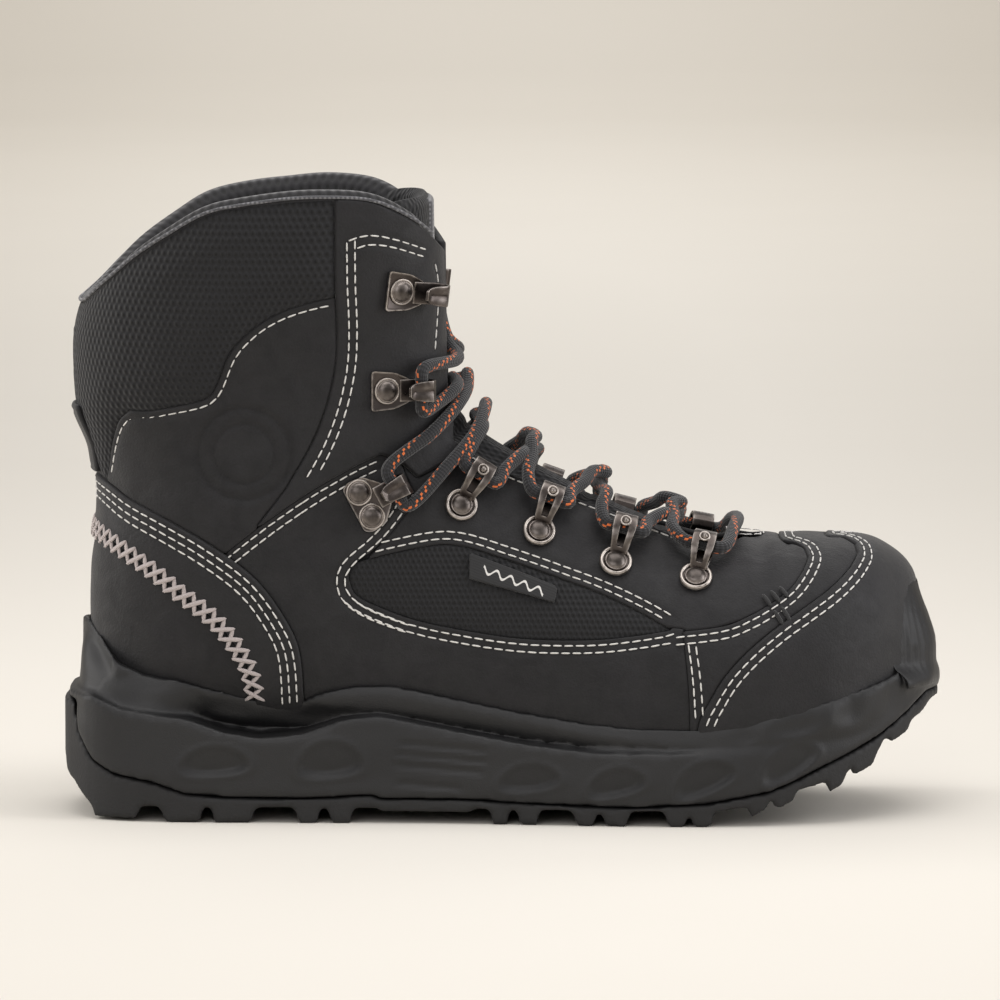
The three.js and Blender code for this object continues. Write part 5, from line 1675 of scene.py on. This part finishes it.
def crossOver(start, end, level, rise):
    x, z = crossings[level]
    middle = throatPoint(x, 0, z, rise)
    return strandTo(start, middle, rise) + [middle] + strandTo(end, middle, rise)[::-1]


def lacePoints():
    points = [throatPoint(-20, -6, 186, -2.4), throatPoint(-20, -6, 176, -2.2),
              throatPoint(-20, -8, 167, 0), throatPoint(-22, -16, 161, edgeRise + 0.6)]
    strand = -1
    for level in range(5, -1, -1):
        thread = threads[strand][level]
        points += thread
        if level > 0:
            points += crossOver(thread[2], threads[-strand][level - 1][0], level - 1, lowRise)
            strand = -strand
    points += [throatPoint(79, strand * 14, 96, edgeRise), throatPoint(80, 0, 97, edgeRise),
               throatPoint(79, -strand * 14, 96, edgeRise)]
    strand = -strand
    for level in range(6):
        thread = threads[strand][level][::-1]
        points += thread
        if level < 5:
            points += crossOver(thread[2], threads[-strand][level + 1][2], level, highRise)
            strand = -strand
    points += [throatPoint(-22, 16, 161, edgeRise + 0.6), throatPoint(-20, 8, 167, 0),
               throatPoint(-20, 6, 176, -2.2), throatPoint(-20, 6, 184, -2.4)]
    return np.array(points)


def roundedCurve(points, step):
    # centripetal curve through the points, as even steps
    points = np.concatenate([[2 * points[0] - points[1]], points, [2 * points[-1] - points[-2]]])
    out = []
    for i in range(1, len(points) - 2):
        a, b, c, d = points[i - 1:i + 3]
        ta = np.sqrt(np.linalg.norm(b - a)) + 1e-6
        tb = np.sqrt(np.linalg.norm(c - b)) + 1e-6
        tc = np.sqrt(np.linalg.norm(d - c)) + 1e-6
        slopeB = ((b - a) / ta - (c - a) / (ta + tb) + (c - b) / tb) * tb
        slopeC = ((c - b) / tb - (d - b) / (tb + tc) + (d - c) / tc) * tb
        for t in np.arange(16) / 16:
            out.append(hermite(t, b, c, slopeB, slopeC))
    out.append(points[-2])
    return evenly(np.array(out), step)


def laceMaterial():
    # round braided polyester: charcoal herringbone with two orange tracer yarns
    material, tree, shader = newMaterial("round_braided_lace")
    uv = addNode(tree, "UVMap", uv_map="weave").outputs["UV"]
    split = addNode(tree, "SeparateXYZ", {"Vector": uv})
    turns = split.outputs["X"]      # turns round the lace
    run = split.outputs["Y"]        # metres along it

    def diagonal(sign, count, pitch):
        way = addNode(tree, "Math", {0: turns, 1: count * sign}, operation="MULTIPLY")
        both = addNode(tree, "Math", {0: run, 2: way, 1: perMm(pitch)}, operation="MULTIPLY_ADD")
        return both.outputs[0]

    def wave(source):
        scaled = addNode(tree, "Math", {0: source, 1: 2 * math.pi}, operation="MULTIPLY")
        return addNode(tree, "Math", {0: scaled}, operation="SINE").outputs[0]

    left, right = diagonal(1, 8, 2.3), diagonal(-1, 8, 2.3)
    plait = addNode(tree, "Math", {0: wave(left), 1: wave(right)}, operation="MULTIPLY")
    height = addNode(tree, "MapRange", {"Value": plait, "From Min": -1.0, "From Max": 1.0})
    tint = addNode(tree, "ValToRGB", {"Fac": height}, [(0.2, "#050507"), (0.75, "#17171c")])
    slow = diagonal(1, 1, 52)
    place = addNode(tree, "Math", {0: slow}, operation="FRACT")
    bands = []
    for centre in (0.14, 0.2, 0.64, 0.7):
        off = addNode(tree, "Math", {0: place, 1: centre}, operation="SUBTRACT")
        size = addNode(tree, "Math", {0: off}, operation="ABSOLUTE")
        inBand = addNode(tree, "Math", {0: size, 1: 0.03}, operation="LESS_THAN")
        shift = addNode(tree, "Math", {0: run, 1: perMm(3.0), 2: centre * 5.5},
                        operation="MULTIPLY_ADD")
        part = addNode(tree, "Math", {0: shift}, operation="FRACT")
        fleck = addNode(tree, "Math", {0: part, 1: 0.34}, operation="LESS_THAN")
        bands.append(addNode(tree, "Math", {0: inBand, 1: fleck}, operation="MULTIPLY").outputs[0])
    flecks = addNode(tree, "Math", {0: bands[0], 1: bands[1]}, operation="MAXIMUM")
    for band in bands[2:]:
        flecks = addNode(tree, "Math", {0: flecks, 1: band}, operation="MAXIMUM")
    mixed = addNode(tree, "Mix", {0: flecks, 6: tint, 7: colour("#d2682a")}, data_type="RGBA")
    bump = addNode(tree, "Bump", {"Height": height, "Strength": 0.8, "Distance": 0.0004})
    setInputs(tree, shader, {"Base Color": mixed.outputs[2], "Normal": bump, "Roughness": 0.75,
                             "Sheen Weight": 0.25})
    return material


def tubePiece(name, path, radius, sides):
    # a tube whose last row of points meets the first with its own UV edge
    along = np.gradient(path, axis=0)
    along /= np.linalg.norm(along, axis=1, keepdims=True)
    side0 = np.cross(along[0], [0, 0, 1.0])
    side0 /= np.linalg.norm(side0)
    points, faces, sideNow = [], [], side0
    for k in range(len(path)):
        sideNow = sideNow - sideNow.dot(along[k]) * along[k]
        sideNow /= np.linalg.norm(sideNow)
        other = np.cross(along[k], sideNow)
        for n in range(sides):
            turn = 2 * math.pi * n / sides
            points.append(path[k] + radius * (math.cos(turn) * sideNow + math.sin(turn) * other))
    run = runLengths(path)
    uvs = []
    for k in range(len(path) - 1):
        for n in range(sides):
            m = (n + 1) % sides
            faces.append([k * sides + n, k * sides + m, (k + 1) * sides + m, (k + 1) * sides + n])
            uvs += [(n / sides, run[k] * mm), ((n + 1) / sides, run[k] * mm),
                    ((n + 1) / sides, run[k + 1] * mm), (n / sides, run[k + 1] * mm)]
    last = (len(path) - 1) * sides
    faces.append(list(range(sides))[::-1])
    faces.append([last + n for n in range(sides)])
    uvs += [(0, 0)] * sides * 2
    obj = meshPiece(name, np.array(points), faces)
    layer = obj.data.uv_layers.new(name="weave")
    layer.data.foreach_set("uv", np.array(uvs).ravel())
    return obj


def makeLace():
    path = roundedCurve(lacePoints(), laceSetup["step"])
    print("lace length mm", round(float(np.linalg.norm(np.diff(path, axis=0), axis=1).sum())))
    obj = tubePiece("lace_cord", path, laceSetup["diameter"] / 2, laceSetup["sides"])
    finishPiece(obj, "boot", laceMaterial(), "lace_cord", "lace")


makeLace()
print("lace ready")

# hidden parts keep their solids
hiddenFinish = {"steel_toe_cap": capSteel, "toe_cap_edge_guard": capRubber,
                "heel_counter": fibreBoard, "insole_board": fibreBoard, "shank": capSteel}
for node, material in hiddenFinish.items():
    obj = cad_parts[node]
    if not obj.material_slots:
        obj.data.materials.append(material)
    for materialSlot in obj.material_slots:
        materialSlot.material = material

# edge and middle are the two colours of the painted pool of light on the paper: painted shade at the
# edges, painted light in the middle
stageSetup = {"edge": "#bdb6aa", "middle": "#e9e5dd", "width": 9.0, "bend": 0.9,
              "length": 11.3, "flat": 8.3, "front": -4.5}


def makeStage():
    deselectAll()
    bpy.ops.mesh.primitive_grid_add(x_subdivisions=2, y_subdivisions=40, size=1)
    sweep = bpy.context.active_object
    sweep.name = "backdrop"
    for vertex in sweep.data.vertices:
        run = (vertex.co.y + 0.5) * stageSetup["length"]
        flat, bend, front = stageSetup["flat"], stageSetup["bend"], stageSetup["front"]
        quarter = bend * math.pi / 2
        if run < flat:
            y, z = run + front, 0.0
        elif run < flat + quarter:
            turn = (run - flat) / bend
            y, z = flat + front + bend * math.sin(turn), bend * (1 - math.cos(turn))
        else:
            y, z = flat + front + bend, bend + run - flat - quarter
        vertex.co = (vertex.co.x * stageSetup["width"], y, z - 0.0002)
    for polygon in sweep.data.polygons:
        polygon.use_smooth = True
    material, tree, shader = newMaterial("matt_paper_backdrop_painted_pool")   # seamless paper, soft, with a painted pool of light: paler in the middle, painted shade towards the edges
    grain = addNode(tree, "TexNoise", {"Vector": addNode(tree, "TexCoord").outputs["Object"],
                    "Scale": 6, "Detail": 2})
    # painted light and shade: a spherical gradient paints the paper paler in the middle and darker
    # towards the edges; the faint noise is the paper's grain
    lightPoolPlace = addNode(tree, "Mapping", {"Vector": addNode(tree, "TexCoord").outputs["Object"],
                   "Location": (0, -0.27, 0), "Scale": (1.3, 0.18, 0.18)})
    paintedLightPool = addNode(tree, "TexGradient", {"Vector": lightPoolPlace.outputs["Vector"]}, gradient_type="SPHERICAL")
    grainAndPaintedPool = addNode(tree, "Math", {0: grain.outputs["Fac"], 2: paintedLightPool.outputs["Fac"], 1: 0.04},
                     operation="MULTIPLY_ADD")
    tint = addNode(tree, "ValToRGB", {"Fac": grainAndPaintedPool}, [(0.0, stageSetup["edge"]), (0.85,
                   stageSetup["middle"])])
    setInputs(tree, shader, {"Base Color": tint, "Roughness": 0.95, "Specular IOR Level": 0.1})
    sweep.data.materials.append(material)


def softBox(name, place, aim, size, power, tint):
    data = bpy.data.lights.new(name, "AREA")
    data.shape = "RECTANGLE"
    data.size, data.size_y = size
    data.energy = power
    data.color = tint
    light = bpy.data.objects.new(name, data)
    light.location = place
    light.rotation_euler = (Vector(aim) - Vector(place)).to_track_quat("-Z", "Y").to_euler()
    bpy.context.collection.objects.link(light)


makeStage()
softBox("top_softbox", (0.1, -0.25, 1.5), (0, 0, 0.1), (1.5, 1.0), 11, (1, 0.985, 0.98))
softBox("front_softbox", (-0.5, -1.9, 0.9), (0, 0, 0.1), (1.4, 1.0), 9, (1, 0.985, 0.99))
softBox("toe_strip", (1.1, -0.3, 0.5), (0.05, 0, 0.1), (0.5, 1.0), 6, (0.98, 0.98, 1))
softBox("heel_strip", (-1.1, 0.1, 0.5), (-0.05, 0, 0.1), (0.5, 1.0), 6, (1, 0.98, 0.96))
softBox("backdrop_glow", (0, 3.0, 2.2), (0, 3.4, 0), (3.0, 2.0), 36, (1, 0.985, 0.965))
world = bpy.data.worlds.new("studio")
world.use_nodes = True
world.node_tree.nodes["Background"].inputs[0].default_value = colour("#efecea")
world.node_tree.nodes["Background"].inputs[1].default_value = 0.6
bpy.context.scene.world = world
bpy.context.scene.view_settings.view_transform = "Standard"
